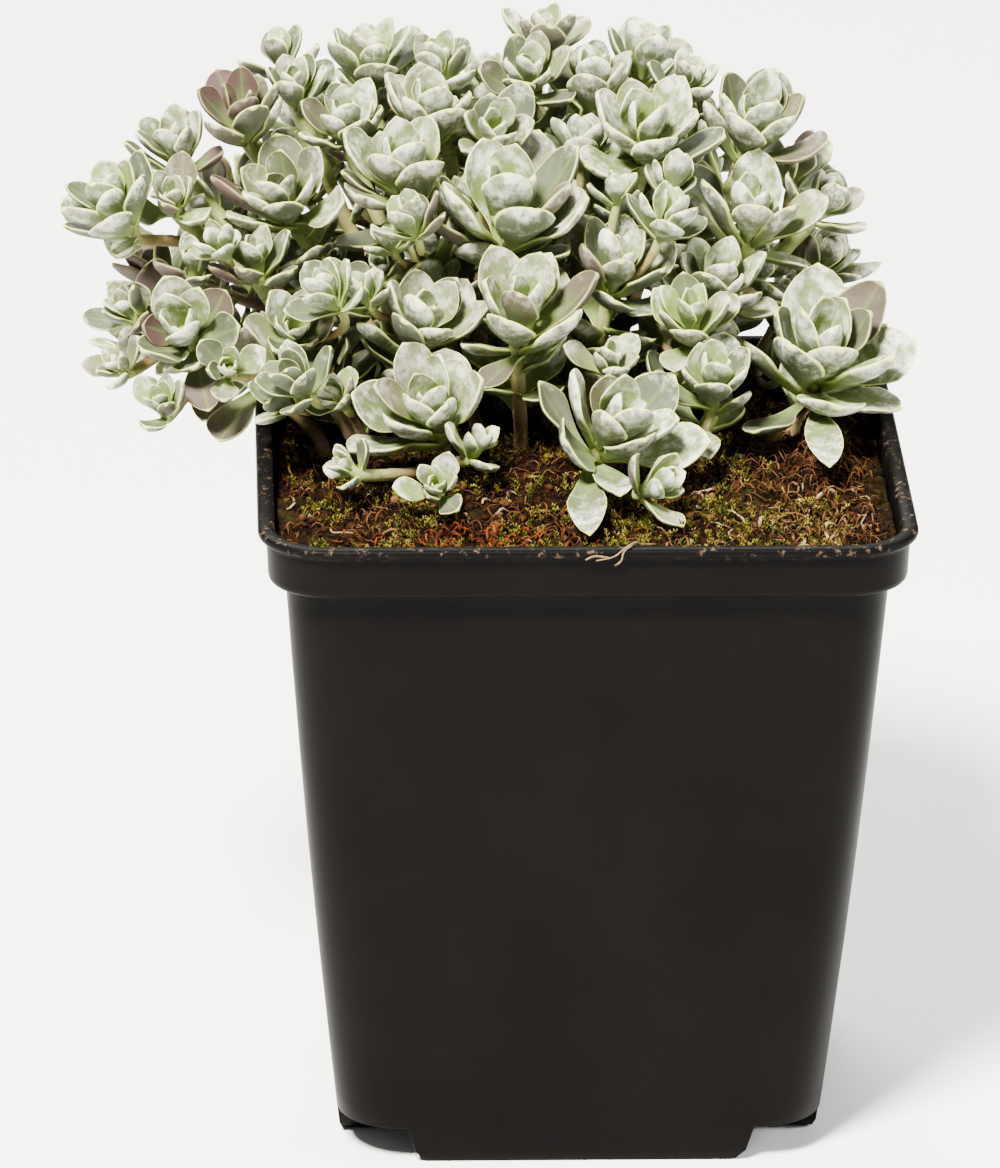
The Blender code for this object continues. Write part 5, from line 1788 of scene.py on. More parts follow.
    def rooms(self) -> list[tuple[float, Vector]]:
        """Find free places inside the canopy.

        Returns:
            Their free radius and place, the widest first.
        """
        spots = [(tree, low - self.widest, high + self.widest)
                 for owner, tree, low, high in self.crowd.items]
        found = []
        for count in range(self.tries):
            point = Vector([self.draw.uniform(*limits) for limits in self.spread])
            far = (point - self.middle).length
            roof = self.roof(point)
            over_lip = max(abs(point.x), abs(point.y)) > 40.0 and point.z < 101.0
            if not 0.52 * roof < far < roof + 0.5 or over_lip or self.in_clearing(point):
                continue
            if point.y < 24.0 and self.hides_head(point):
                continue
            spot = np.array(tuple(point))
            free = self.widest
            for tree, low, high in spots:
                if (spot < low).any() or (spot > high).any():
                    continue
                hit = tree.find_nearest(point, free)
                if hit[3] is not None:
                    free = min(free, hit[3])
                    if free < self.narrowest:
                        break
            if free >= self.narrowest:
                found.append((free, point))
        return sorted(found, key=lambda entry: -entry[0])

    def side_shoots(self) -> None:
        """Add small rosettes on thin branches where the canopy has room."""
        starts = [(along_line(self.bare_line(shoot), part / 12.0), shoot)
                  for shoot in self.shoots for part in range(2, 12)]
        for free, point in self.rooms():
            if len(self.sprigs) >= self.most:
                break
            if any((point - other).length < self.apart for other in self.sprigs):
                continue
            size = min(6.6, 1.4 + 1.05 * free)
            way = (point - self.middle).normalized()
            axis = (way + Vector((0.0, 0.0, 0.55 + 0.4 * self.draw.random()))).normalized()
            base = point - axis * (0.42 * size)
            for start, shoot in sorted(starts, key=lambda entry: self.cost(entry[0], base))[:5]:
                lift = (base - start).length * 0.4
                path = bezier(start, start + Vector((0.0, 0.0, lift)) * 0.6 + (base - start) * 0.2,
                              base - axis * lift, base, 7)
                if (start - base).length <= self.branch and self.clear_path(path, shoot):
                    self.sprig(path, axis, size)
                    self.sprigs.append(point)
                    break
        LOG.info("side growth: %d leaves, %d shoots", self.leaves, len(self.sprigs))

    @staticmethod
    def cost(start: Vector, base: Vector) -> float:
        """Return how poorly a place on a stem suits as the start of a branch."""
        away = (base - start).length
        return away + 1.4 * max(0.0, 0.4 * away - (base.z - start.z))

    def clear_path(self, path: list[Vector], shoot: Shoot) -> bool:
        """Test whether a thin branch passes everything but the stem that it starts on.

        Args:
            path: The points of the branch.
            shoot: The shoot that it starts on.

        Returns:
            Whether it does.
        """
        trees = [tree for owner, tree, low, high in self.crowd.items if owner[0] != shoot.name]
        for low, high in zip(path[1:], path[2:]):
            way = high - low
            if any(tree.ray_cast(low, way.normalized(), way.length)[0] is not None
                   for tree in trees):
                return False
        return True

    def sprig(self, path: list[Vector], axis: Vector, size: float) -> None:
        """Add one branch with its rosette.

        Args:
            path: The points of the branch.
            axis: The direction of the rosette.
            size: The length of its leaves.
        """
        number = len(self.sprigs)
        base = path[-1]
        radii = [0.55 + 0.02 * spot for spot in range(len(path))] + [0.5]
        route = smooth_line(path + [base + axis * (0.5 * size)], radii, 0.8)
        add_tube(self.draft(base), route, 8, Slot.STEM, (0.0, 0.4, 0.4), 5.0 * number)
        across = axis.orthogonal().normalized()
        turn = self.draw.random() * 6.28
        owner = "sprig%d" % number
        for ring, (count, length, opening, half, curl) in enumerate(self.whorls):
            for spot in range(count):
                around = 2.0 * math.pi * (spot + 0.12 * self.draw.random()) / count
                radial = turned(axis, across, turn + 0.8 * ring + around)
                start = base + axis * (0.09 * size * ring) + radial * 0.4
                for closing, shrink in ((0.0, 1.0), (12.0, 0.92), (0.0, 0.78), (16.0, 0.68)):
                    lean = math.radians(opening - closing + 8.0 * (self.draw.random() - 0.5))
                    reach = size * length * shrink * (0.94 + 0.12 * self.draw.random())
                    blade = Blade(start, *opened(axis, radial, lean), reach,
                                  half * size * (0.4 + 0.6 * shrink), max(0.7, 0.1 * size),
                                  math.radians(curl))
                    solid = blade.solid(0.1)
                    if clear_of_ground(solid[0]) and not self.crowd.crosses(solid, owner):
                        form = self.leaf if ring < 2 else self.young
                        self.keep(form, blade, owner, 130000, 0.75 - 0.2 * ring)
                        break

    def build(self, finishes: list[bpy.types.Material]) -> list[bpy.types.Object]:
        """Grow the leaves and shoots and make their pieces.

        Args:
            finishes: The finishes of leaves and stems.

        Returns:
            The pieces.
        """
        self.loose()
        self.side_shoots()
        pieces = [draft.build("side_growth_%d" % number, finishes)
                  for number, draft in enumerate(self.drafts, 1)]
        for piece in pieces:
            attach(piece, "root")
        return pieces


MARK = {"attribute_type": "GEOMETRY"}


class Kind(Enum):
    """The kinds of shader node in use: type, settings, and the places of inputs and output."""

    ADD = ("Math", {"operation": "ADD"}, (0, 1), 0)
    TAKE = ("Math", {"operation": "SUBTRACT"}, (0, 1), 0)
    TIMES = ("Math", {"operation": "MULTIPLY"}, (0, 1), 0)
    MOST = ("Math", {"operation": "MAXIMUM"}, (0, 1), 0)
    STEP = ("MapRange", {"interpolation_type": "SMOOTHSTEP"}, (0, 1, 2), 0)
    CLAMP = ("Clamp", {}, (0, 1, 2), 0)
    MIX = ("Mix", {"data_type": "RGBA"}, (0, 6, 7), 2)
    NOISE = ("TexNoise", {}, ("Vector", "Scale", "Detail", "Roughness"), 0)
    STRETCH = ("VectorMath", {"operation": "MULTIPLY"}, (0, 1), 0)
    SPLIT = ("SeparateXYZ", {}, (0,), 0)
    OBJECT = ("TexCoord", {}, (), "Object")
    PLACE = ("Attribute", {**MARK, "attribute_name": "leaf_place"}, (), "Vector")
    LOCAL = ("Attribute", {**MARK, "attribute_name": "leaf_local"}, (), "Vector")
    TINT = ("Attribute", {**MARK, "attribute_name": "leaf_tint"}, (), "Vector")
    BUMP = ("Bump", {}, ("Height", "Strength", "Distance"), 0)


Socket = bpy.types.NodeSocket


class Paint:
    """A material in the making."""

    def __init__(self, name: str) -> None:
        """Start a material with a bare shader.

        Args:
            name: The name of the material.
        """
        self.material = bpy.data.materials.new(name)
        self.material.use_nodes = True
        self.tree = self.material.node_tree
        self.tree.nodes.clear()
        output = self.tree.nodes.new("ShaderNodeOutputMaterial")
        self.shader = self.tree.nodes.new("ShaderNodeBsdfPrincipled")
        self.tree.links.new(self.shader.outputs[0], output.inputs[0])

    def add(self, kind: Kind, *inputs: object) -> Socket:
        """Add a node with its settings and links.

        Args:
            kind: The kind of node.
            inputs: A socket, a value or a colour's hex value for each input.

        Returns:
            Its output.
        """
        name, settings, places, output = kind.value
        node = self.tree.nodes.new("ShaderNode" + name)
        for key, value in settings.items():
            setattr(node, key, value)
        for place, value in zip(places, inputs):
            value = linear(value) if isinstance(value, str) else value
            if isinstance(value, Socket):
                self.tree.links.new(value, node.inputs[place])
            else:
                node.inputs[place].default_value = value
        return node.outputs[output]

    def total(self, value: object, *rows: tuple[Socket, float]) -> Socket:
        """Add weighted patterns to a value.

        Args:
            value: What they are added to.
            rows: Each pattern with its weight.

        Returns:
            The sum.
        """
        for pattern, weight in rows:
            value = self.add(Kind.ADD, value, self.add(Kind.TIMES, pattern, weight))
        return value

    def layers(self, color: object, *rows: tuple[Socket, float, object]) -> Socket:
        """Lay colours over a colour.

        Args:
            color: The colour below.
            rows: For each layer its pattern, its strength and its colour.

        Returns:
            The colour.
        """
        for pattern, strength, over in rows:
            color = self.add(Kind.MIX, self.add(Kind.TIMES, pattern, strength), color, over)
        return color

    def finish(self, color: Socket, rough: Socket, specular: float,
               *bump: object) -> bpy.types.Material:
        """Join what was made to the shader.

        Args:
            color: The colour.
            rough: The roughness.
            specular: The specular level.
            bump: Nothing, or a height, its strength and its depth in metres.

        Returns:
            The material.
        """
        self.tree.links.new(color, self.shader.inputs["Base Color"])
        self.tree.links.new(rough, self.shader.inputs["Roughness"])
        self.shader.inputs["Specular IOR Level"].default_value = specular
        if bump:
            self.tree.links.new(self.add(Kind.BUMP, *bump), self.shader.inputs["Normal"])
        return self.material


@dataclass(frozen=True)
class LeafFinish:
    """Fleshy leaf: green or purple flesh under a pale mealy bloom that rubs off in flecks, with
    painted shade on the undersides and on leaves that lie in shade.
    """

    name: str = "mealy_leaf"
    flesh: str = "#525F36"
    bright: str = "#7C953A"
    purple: str = "#452D2A"
    bloom: str = "#FCFDEC"
    grey_bloom: str = "#A6A398"
    tinted_bloom: str = "#8E7F7D"
    margin: str = "#D0D878"
    speck: str = "#4A4528"
    base: str = "#6C8033"
    # The underside colour: partly the underside's own greener flesh, partly painted shade.
    underside_and_shade: str = "#38452A"
    # Dark flesh where the bloom is worn off, and painted shade on leaves that lie in shade.
    worn_and_shaded: str = "#2B3522"

    def make(self) -> bpy.types.Material:
        """Make the material.

        Returns:
            The material.
        """
        # Wax grains are far too fine to show, so the bloom is drawn as the patches it rubs into.
        # Scales are in lumps for each millimetre: blotches 2.4, mottling 1, flecks 0.24 and veins
        # 0.6 millimetres.  The eye sees a chalky, almost glossless skin with darker worn flecks.
        paint = Paint(self.name)
        add = paint.add
        local = add(Kind.LOCAL)
        along, across, side = add(Kind.SPLIT, add(Kind.PLACE)).node.outputs
        purple, green, wear_and_shade = add(Kind.SPLIT, add(Kind.TINT)).node.outputs
        blotch = add(Kind.NOISE, local, 0.42, 3.0, 0.6)
        mottle = add(Kind.NOISE, add(Kind.STRETCH, local, (1.25, 0.75, 1.0)), 1.05, 7.0, 0.74)
        fleck = add(Kind.NOISE, local, 4.2, 4.0, 0.7)
        vein = add(Kind.NOISE, add(Kind.STRETCH, local, (2.4, 0.30, 1.0)), 1.6, 3.0, 0.6)
        speck = add(Kind.STEP, add(Kind.NOISE, local, 1.9, 2.0, 0.5), 0.70, 0.74)

        # Underside mask: it carries the underside's own colour and painted shade.
        below = add(Kind.TAKE, 1.0, side)
        low = add(Kind.TAKE, 1.0, add(Kind.STEP, along, 0.06, 0.62))
        flecks = add(Kind.TIMES, add(Kind.STEP, fleck, 0.55, 0.66), 0.55)
        rubbed = add(Kind.TIMES, add(Kind.MOST, add(Kind.STEP, mottle, 0.50, 0.62), flecks),
                     paint.total(0.12, (wear_and_shade, 0.95)))
        outer = paint.total(blotch, (along, 0.42), (across, 0.16))
        old_purple = add(Kind.TIMES, purple, add(Kind.STEP, outer, 0.55, 0.95))
        rim = add(Kind.TIMES, add(Kind.MOST, add(Kind.STEP, across, 0.925, 0.985),
                                  add(Kind.STEP, along, 0.965, 0.995)),
                  paint.total(0.78, (old_purple, -0.6)))
        rib = add(Kind.TIMES, add(Kind.TAKE, 1.0, add(Kind.STEP, across, 0.0, 0.16)),
                  add(Kind.TIMES, side, 0.30))

        # The underside layer and the dark worn layer darken the flesh partly as painted shade.
        flesh = paint.layers(
            self.flesh, (green, 1.0, self.bright), (below, 0.75, self.underside_and_shade),
            (add(Kind.STEP, wear_and_shade, 0.62, 1.00), 0.85, self.worn_and_shaded), (old_purple, 1.0, self.purple),
            (low, 0.8, self.base))
        cover = paint.total(
            0.12, (add(Kind.STEP, along, 0.40, 1.00), 0.46), (rubbed, -0.42), (green, -0.24),
            (low, -0.10), (below, -0.06), (old_purple, -0.40), (add(Kind.TAKE, blotch, 0.47), 1.5),
            (add(Kind.STEP, wear_and_shade, 0.75, 1.00), -0.44), (add(Kind.TAKE, vein, 0.5), 0.45))
        white = paint.layers(
            self.grey_bloom, (add(Kind.STEP, blotch, 0.35, 0.62), 1.0, self.bloom),
            (purple, 0.8, self.tinted_bloom))
        color = paint.layers(
            flesh, (add(Kind.CLAMP, cover, 0.04, 0.95), 1.0, white), (speck, 0.55, self.speck),
            (rim, 1.0, self.margin), (rib, 1.0, self.base))
        for name, value in (("Weight", 0.08), ("Radius", (0.6, 0.9, 0.35)), ("Scale", 0.001)):
            paint.shader.inputs["Subsurface " + name].default_value = value
        height = paint.total(0.0, (fleck, 0.6), (mottle, 0.9), (vein, 0.5))
        return paint.finish(color, paint.total(0.70, (rubbed, -0.25)), 0.35, height, 0.45, 0.00016)


@dataclass(frozen=True)
class StemFinish:
    """Fleshy stem: pinkish tan darkened to brown low down by painted shade, olive and green towards
    the head, with fine scars.
    """

    name: str = "leafy_stem"
    low: str = "#4A3320"
    middle: str = "#7C6A42"
    high: str = "#808C4A"
    dark: str = "#40331F"
    pale: str = "#D9C7AE"

    def make(self) -> bpy.types.Material:
        """Make the material.

        Returns:
            The material.
        """
        # Streaks of about 0.5 by 2 millimetres run up the stem, and leaf scars of 0.6 by 3.6 run
        # round it.  They give the eye a dull skin that is darker and rougher near the soil; the
        # darkness there is painted shade.
        paint = Paint(self.name)
        add = paint.add
        along = add(Kind.SPLIT, add(Kind.PLACE))
        local = add(Kind.LOCAL)
        streak = add(Kind.NOISE, add(Kind.STRETCH, local, (1.6, 0.35, 1.0)), 1.4, 5.0, 0.6)
        scar = add(Kind.NOISE, add(Kind.STRETCH, local, (0.25, 1.5, 1.0)), 1.1, 3.0, 0.6)
        upper = paint.total(along, (streak, 0.3))
        # The low colour is painted shade: the stem is darkest near the soil, under the leaves.
        color = paint.layers(
            self.low, (add(Kind.STEP, along, 0.15, 0.45), 1.0, self.middle),
            (add(Kind.STEP, upper, 0.62, 1.0), 1.0, self.high),
            (add(Kind.STEP, scar, 0.56, 0.66), 0.5, self.dark),
            (add(Kind.STEP, streak, 0.55, 0.7), 0.3, self.pale))
        rough = paint.total(0.45, (streak, 0.25))
        return paint.finish(color, rough, 0.4, add(Kind.ADD, streak, scar), 0.35, 0.00015)


@dataclass(frozen=True)
class PotFinish:
    """Moulded black polypropylene: satin, with a fine skin, faint scuffs and a little dust."""

    name: str = "pot_plastic"
    body: str = "#070606"
    pale: str = "#0D0C0B"
    dust: str = "#5A4A3A"

    def make(self) -> bpy.types.Material:
        """Make the material.

        Returns:
            The material.
        """
        # Scales are in lumps for each metre: clouds 26, scuffs 4, mould skin 0.7 and dust specks
        # 1.1 millimetres.  The real skin is finer, and is drawn this coarse so that it shows.
        # The eye sees an even black with a soft sheen and brown specks along the lip.
        paint = Paint(self.name)
        add = paint.add
        where = add(Kind.OBJECT)
        height = add(Kind.SPLIT, where).node.outputs[2]
        cloud = add(Kind.NOISE, where, 38.0, 4.0, 0.6)
        skin = add(Kind.NOISE, where, 1500.0, 2.0, 0.6)
        scuff = add(Kind.NOISE, add(Kind.STRETCH, where, (1.0, 1.0, 6.0)), 260.0, 6.0, 0.7)
        drag = add(Kind.NOISE, add(Kind.STRETCH, where, (1.0, 1.0, 0.06)), 900.0, 3.0, 0.6)
        dust = add(Kind.STEP, add(Kind.NOISE, where, 900.0, 5.0, 0.7), 0.57, 0.66)
        dust = add(Kind.TIMES, add(Kind.STEP, height, 0.0925, 0.0952), dust)
        color = paint.layers(
            self.body, (add(Kind.STEP, cloud, 0.35, 0.75), 0.45, self.pale),
            (add(Kind.STEP, scuff, 0.66, 0.74), 0.35, self.pale), (dust, 0.6, self.dust))
        rough = paint.total(0.36, (cloud, 0.14), (add(Kind.STEP, scuff, 0.6, 0.75), 0.14))
        return paint.finish(color, rough, 0.02, paint.total(skin, (drag, 0.8)), 0.10, 0.0001)


@dataclass(frozen=True)
class PeatFinish:
    """Dark moist peat with brown fibres, orange scraps and patches of green."""

    name: str = "peat"
    wet: str = "#060402"
    crumb: str = "#211307"
    fibre: str = "#3E2610"
    green: str = "#2C2A0F"
    straw: str = "#6A4A26"

    def make(self) -> bpy.types.Material:
        """Make the material.

        Returns:
            The material.
        """
        # Scales are in lumps for each metre: crumbs 2.4, grains 0.6, fibres 0.7 by 3 and green
        # patches 11 millimetres.  The eye sees a matt, almost black ground with brown crumbs.
        paint = Paint(self.name)
        add = paint.add
        where = add(Kind.OBJECT)
        crumb = add(Kind.NOISE, where, 420.0, 8.0, 0.7)
        grain = add(Kind.NOISE, where, 1700.0, 5.0, 0.7)
        patch = add(Kind.NOISE, where, 90.0, 3.0, 0.6)
        fibre = add(Kind.NOISE, add(Kind.STRETCH, where, (1.0, 0.22, 1.0)), 1500.0, 4.0, 0.6)
        color = paint.layers(
            self.wet, (add(Kind.STEP, crumb, 0.40, 0.66), 1.0, self.crumb),
            (add(Kind.STEP, fibre, 0.54, 0.62), 0.5, self.fibre),
            (add(Kind.STEP, patch, 0.52, 0.66), 0.5, self.green),
            (add(Kind.STEP, grain, 0.60, 0.68), 0.5, self.straw))
        rough = paint.total(0.95, (grain, -0.15))
        return paint.finish(color, rough, 0.03, paint.total(crumb, (grain, 0.5)), 1.0, 0.0014)


@dataclass(frozen=True)
class LitterFinish:
    """Dry fibres, scraps and moss, each coloured by the tint that its mesh holds."""

    name: str = "litter"
    dark: Point = (0.08, 0.075, 0.07)
    pale: Point = (0.46, 0.44, 0.40)

    def make(self) -> bpy.types.Material:
        """Make the material.

        Returns:
            The material.
        """
        # Stains of 0.8 millimetres make each dull strand lighter and darker along its length.
        paint = Paint(self.name)
        add = paint.add
        tint = add(Kind.TINT)
        tone = add(Kind.NOISE, add(Kind.LOCAL), 1.3, 5.0, 0.7)
        color = paint.layers(add(Kind.STRETCH, tint, self.dark),
                             (add(Kind.STEP, tone, 0.30, 0.70), 1.0,
                              add(Kind.STRETCH, tint, self.pale)))
        return paint.finish(color, paint.total(0.8, (tone, 0.15)), 0.06, tone, 0.4, 0.0002)


@dataclass
class Shell:
    """A plain mesh built ring by ring, in millimetres."""

    points: list[Point] = field(default_factory=list)
    faces: list[Face] = field(default_factory=list)

    def add_ring(self, points: list[Point]) -> int:
        """Add the points of a ring and return the index of its first one."""
        self.points.extend(points)
        return len(self.points) - len(points)

    def stack(self, rings: list[list[Point]]) -> list[int]:
        """Add rings one over another, joined in turn.

        Args:
            rings: The rings, all of one count.

        Returns:
            The index of each ring's first point.
        """
        firsts = [self.add_ring(ring) for ring in rings]
        for low, high in zip(firsts, firsts[1:]):
            self.faces.extend(band_faces(low, high, len(rings[0])))
        return firsts

    def cross_floor(self, square: int, count: int, rings: list[list[Point]]) -> None:
        """Close a square ring below with raised corners and a cross-shaped foot.

        Args:
            square: The first point of the square ring.
            count: Its number of points.
            rings: The outlines of the foot, from above.
        """
        crosses = [self.add_ring(ring) for ring in rings]
        per_side = count // 4
        for quarter in range(4):
            start = square + quarter * per_side
            farthest = square + (quarter * per_side + per_side) % count
            inner = crosses[0] + quarter * 3 + 2
            low = crosses[1] + quarter * 3
            after = crosses[1] + (quarter * 3 + 3) % 12
            self.faces.append((*range(start + 1, start + per_side), farthest, inner))
            self.faces.append((start, start + 1, low + 1, low))
            self.faces.append((start + 1, inner, low + 2, low + 1))
            self.faces.append((inner, farthest, after, low + 2))
        for high, low in zip(crosses[1:], crosses[2:]):
            self.faces.extend(band_faces(low, high, 12))
        last = crosses[-1]
        inners = (last + 2, last + 5, last + 8, last + 11)
        self.faces.append(inners)
        for quarter in range(4):
            first = last + quarter * 3
            self.faces.append((inners[quarter - 1], first, first + 1, inners[quarter]))

    def build(self, name: str, material: bpy.types.Material) -> bpy.types.Object:
        """Make the object in metres, with its faces turned outward.

        Args:
            name: The name of the piece.
            material: Its finish.

        Returns:
            The object.
        """
        mesh = bpy.data.meshes.new(name)
        mesh.from_pydata([(x * MM, y * MM, z * MM) for x, y, z in self.points], [], self.faces)
        work = bmesh.new()
        work.from_mesh(mesh)
        loose = [vert for vert in work.verts if not vert.link_faces]
        bmesh.ops.delete(work, geom=loose, context="VERTS")
        bmesh.ops.recalc_face_normals(work, faces=work.faces)
        if work.calc_volume(signed=True) < 0.0:
            bmesh.ops.reverse_faces(work, faces=work.faces)
        work.to_mesh(mesh)
        work.free()
        return link(name, mesh, material)


def apply_modifiers(item: bpy.types.Object) -> None:
    """Replace an object's mesh by what its modifiers make of it.

    Args:
        item: The object.
    """
    bpy.context.view_layer.update()
    graph = bpy.context.evaluated_depsgraph_get()
    made = bpy.data.meshes.new_from_object(item.evaluated_get(graph))
    item.modifiers.clear()
    item.data = made


@dataclass(frozen=True)
class FinePot:
    """The moulded pot: corner radii and heights of its body, and half widths at its lip."""

    body: tuple[tuple[float, float], ...] = (
        (9.2, FOOT_HEIGHT), (9.1, 8.0), (9.0, 16.0), (8.7, 32.0), (8.4, 46.0), (8.1, 60.0),
        (7.8, 74.0), (7.6, 84.0))
    lip: tuple[Point, ...] = (
        (41.2, 7.6, 86.7), (41.35, 7.6, 86.95), (41.9, 7.7, 87.15), (42.7, 7.9, 87.35),
        (43.15, 8.0, 87.6), (43.45, 8.1, 88.0), (43.6, 8.2, 88.6), (43.8, 8.4, 92.9),
        (43.88, 8.5, 93.3), (44.15, 8.9, 93.55), (44.6, 9.4, 93.7), (44.88, 9.8, 93.9),
        (45.0, 10.0, 94.25), (44.95, 9.9, 94.6), (44.75, 9.7, 94.88), (44.4, 9.5, 95.0),
        (43.5, 8.7, 95.0), (43.0, 8.3, 94.9), (42.7, 8.1, 94.7), (42.6, 8.0, 94.3),
        (42.45, 7.6, 88.7), (42.2, 7.4, 88.2), (40.3, 6.8, LEDGE_Z))
    inside: tuple[tuple[float, float], ...] = ((7.1, 60.0), (7.7, 32.0))
    foot_rings: tuple[Point, ...] = (
        (0.0, FOOT_HALF_TOP, FOOT_HEIGHT), (0.0, 23.1, 1.4), (-0.25, FOOT_HALF_BOTTOM, 0.0))
    inner_radius: float = 8.2
    drain_centre: float = 27.6
    drain_radius: float = 2.5
    drain_sides: int = 24
    edge: float = 0.35

    def build(self, material: bpy.types.Material) -> bpy.types.Object:
        """Build the pot and put it in the place of its node.

        Args:
            material: Its finish.

        Returns:
            The piece.
        """
        top = FOOT_HEIGHT + FLOOR
        shell = Shell()
        rings = [square_ring(body_half(z), radius, z) for radius, z in self.body]
        rings += [square_ring(*ring) for ring in self.lip]
        rings += [square_ring(body_half(z) - WALL, radius, z) for radius, z in self.inside]
        rings.append(square_ring(body_half(top) - WALL, self.inner_radius, top,
                                 FOOT_HALF_TOP - WALL))
        firsts = shell.stack(rings)
        shell.cross_floor(firsts[0], len(rings[0]), [
            cross_ring(body_half(z) + wider, arm, z) for wider, arm, z in self.foot_rings])
        shell.cross_floor(firsts[-1], len(rings[0]), [
            cross_ring(body_half(top) - WALL, FOOT_HALF_TOP - WALL, top),
            cross_ring(body_half(FLOOR) - WALL, FOOT_HALF_BOTTOM - 0.4, FLOOR)])
        pot = shell.build("moulded_pot", material)
        drills = [self.drill(spot, top + 2.0, material) for spot in range(4)]
        for drill in drills:
            cut = pot.modifiers.new("drain", "BOOLEAN")
            cut.operation = "DIFFERENCE"
            cut.object = drill
        bevel = pot.modifiers.new("soft_edges", "BEVEL")
        bevel.width = self.edge * MM
        bevel.segments = 2
        bevel.limit_method = "ANGLE"
        bevel.angle_limit = math.radians(32.0)
        apply_modifiers(pot)
        for drill in drills:
            bpy.data.objects.remove(drill, do_unlink=True)
        pot.data.shade_smooth()
        pot.data.set_sharp_from_angle(angle=math.radians(50.0))
        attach(pot, "root")
        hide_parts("pot")
        return pot

    def drill(self, spot: int, top: float, material: bpy.types.Material) -> bpy.types.Object:
        """Make the cylinder that cuts one drain hole.

        Args:
            spot: Which of the four holes.
            top: How high it reaches.
            material: What the cut face is made of.

        Returns:
            The cylinder.
        """
        turn = QUARTER * spot + 0.5 * QUARTER
        reach = self.drain_centre * math.sqrt(2.0)
        angles = [step * math.pi / 12.0 for step in range(self.drain_sides)]
        ring = [(reach * math.cos(turn) + self.drain_radius * math.cos(angle),
                 reach * math.sin(turn) + self.drain_radius * math.sin(angle))
                for angle in angles]
        drill = Shell()
        for first in drill.stack([[(x, y, z) for x, y in ring] for z in (FOOT_HEIGHT - 2.0, top)]):
            drill.faces.append(tuple(range(first, first + self.drain_sides)))
        return drill.build("drill_%d" % spot, material)


def peat_height(x: float, y: float) -> float:
    """Work out the height of the fine peat surface, with its crumbs.

    Args:
        x: Place from the middle to the right.
        y: Place from the middle to the back.

    Returns:
        The height over the table.
    """
    place = Vector((x, y, 3.0))
    rough = 0.55 * noise.noise(place * 0.32) + 0.42 * noise.noise(place * 0.85)
    rough += 0.24 * noise.noise(place * 2.1)
    return soil_height(x, y) + rough


@dataclass(frozen=True)
class FinePeat:
    """The peat block with a crumbly top: points round a ring, and rings on the top."""

    around: int = 260
    rings: int = 46
    corner: float = 7.3

    def build(self, material: bpy.types.Material) -> bpy.types.Object:
        """Build the peat and put it in the place of its node.

        Args:
            material: Its finish.

        Returns:
            The piece.
        """
        edge = RIM_INNER_HALF - 0.15 - GAP
        base = FOOT_HEIGHT + FLOOR + GAP
        low = FLOOR + GAP
        rings = []
        for half, radius, z in ((body_half(base) - WALL - GAP, 8.0, base),
                                (body_half(BODY_TOP_Z) - WALL - GAP, 6.6, LEDGE_Z + 0.15),
                                (edge - 0.05, self.corner, LEDGE_Z + 1.35)):
            rings.append([(x, y, z) for x, y in self.outline(half, radius)])
        for number in range(self.rings):
            part = (1.0 - number / self.rings) ** 0.9
            rings.append([(x, y, peat_height(x, y))
                          for x, y in self.outline(edge * part, self.corner * part)])
        shell = Shell()
        last = shell.stack(rings)[-1]
        middle = shell.add_ring([(0.0, 0.0, peat_height(0.0, 0.0))])
        shell.faces.extend((last + step, last + (step + 1) % self.around, middle)
                           for step in range(self.around))
        shell.faces.append(tuple(range(self.around)))
        for first in shell.stack([
                cross_ring(body_half(low) - WALL - GAP, FOOT_HALF_BOTTOM - 0.8, low),
                cross_ring(body_half(base) - WALL - GAP, FOOT_HALF_TOP - WALL - GAP, base - 0.05)]):
            shell.faces.append(tuple(range(first, first + 12)))
        peat = shell.build("crumbly_peat", material)
        peat.data.shade_smooth()
        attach(peat, "root")
        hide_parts("soil")
        return peat

    def outline(self, half: float, radius: float) -> list[tuple[float, float]]:
        """Lay evenly spaced points round a rounded square.

        Args:
            half: Half width.
            radius: Corner radius.

        Returns:
            The x and y of each point.
        """
        ring = [Vector((x, y)) for x, y, z in square_ring(half, radius, 0.0, 0.5 * half, 8)]
        ring.append(ring[0])
        spans = spans_of(ring)
        total = sum(spans)
        points = []
        spot = 0
        done = 0.0
        for step in range(self.around):
            goal = total * step / self.around
            while done + spans[spot] < goal:
                done += spans[spot]
                spot += 1
            point = ring[spot].lerp(ring[spot + 1], (goal - done) / spans[spot])
            points.append((point.x, point.y))
        return points


def within(value: float, limit: float) -> float:
    """Return a value held between a limit and its opposite."""
    return min(limit, max(-limit, value))


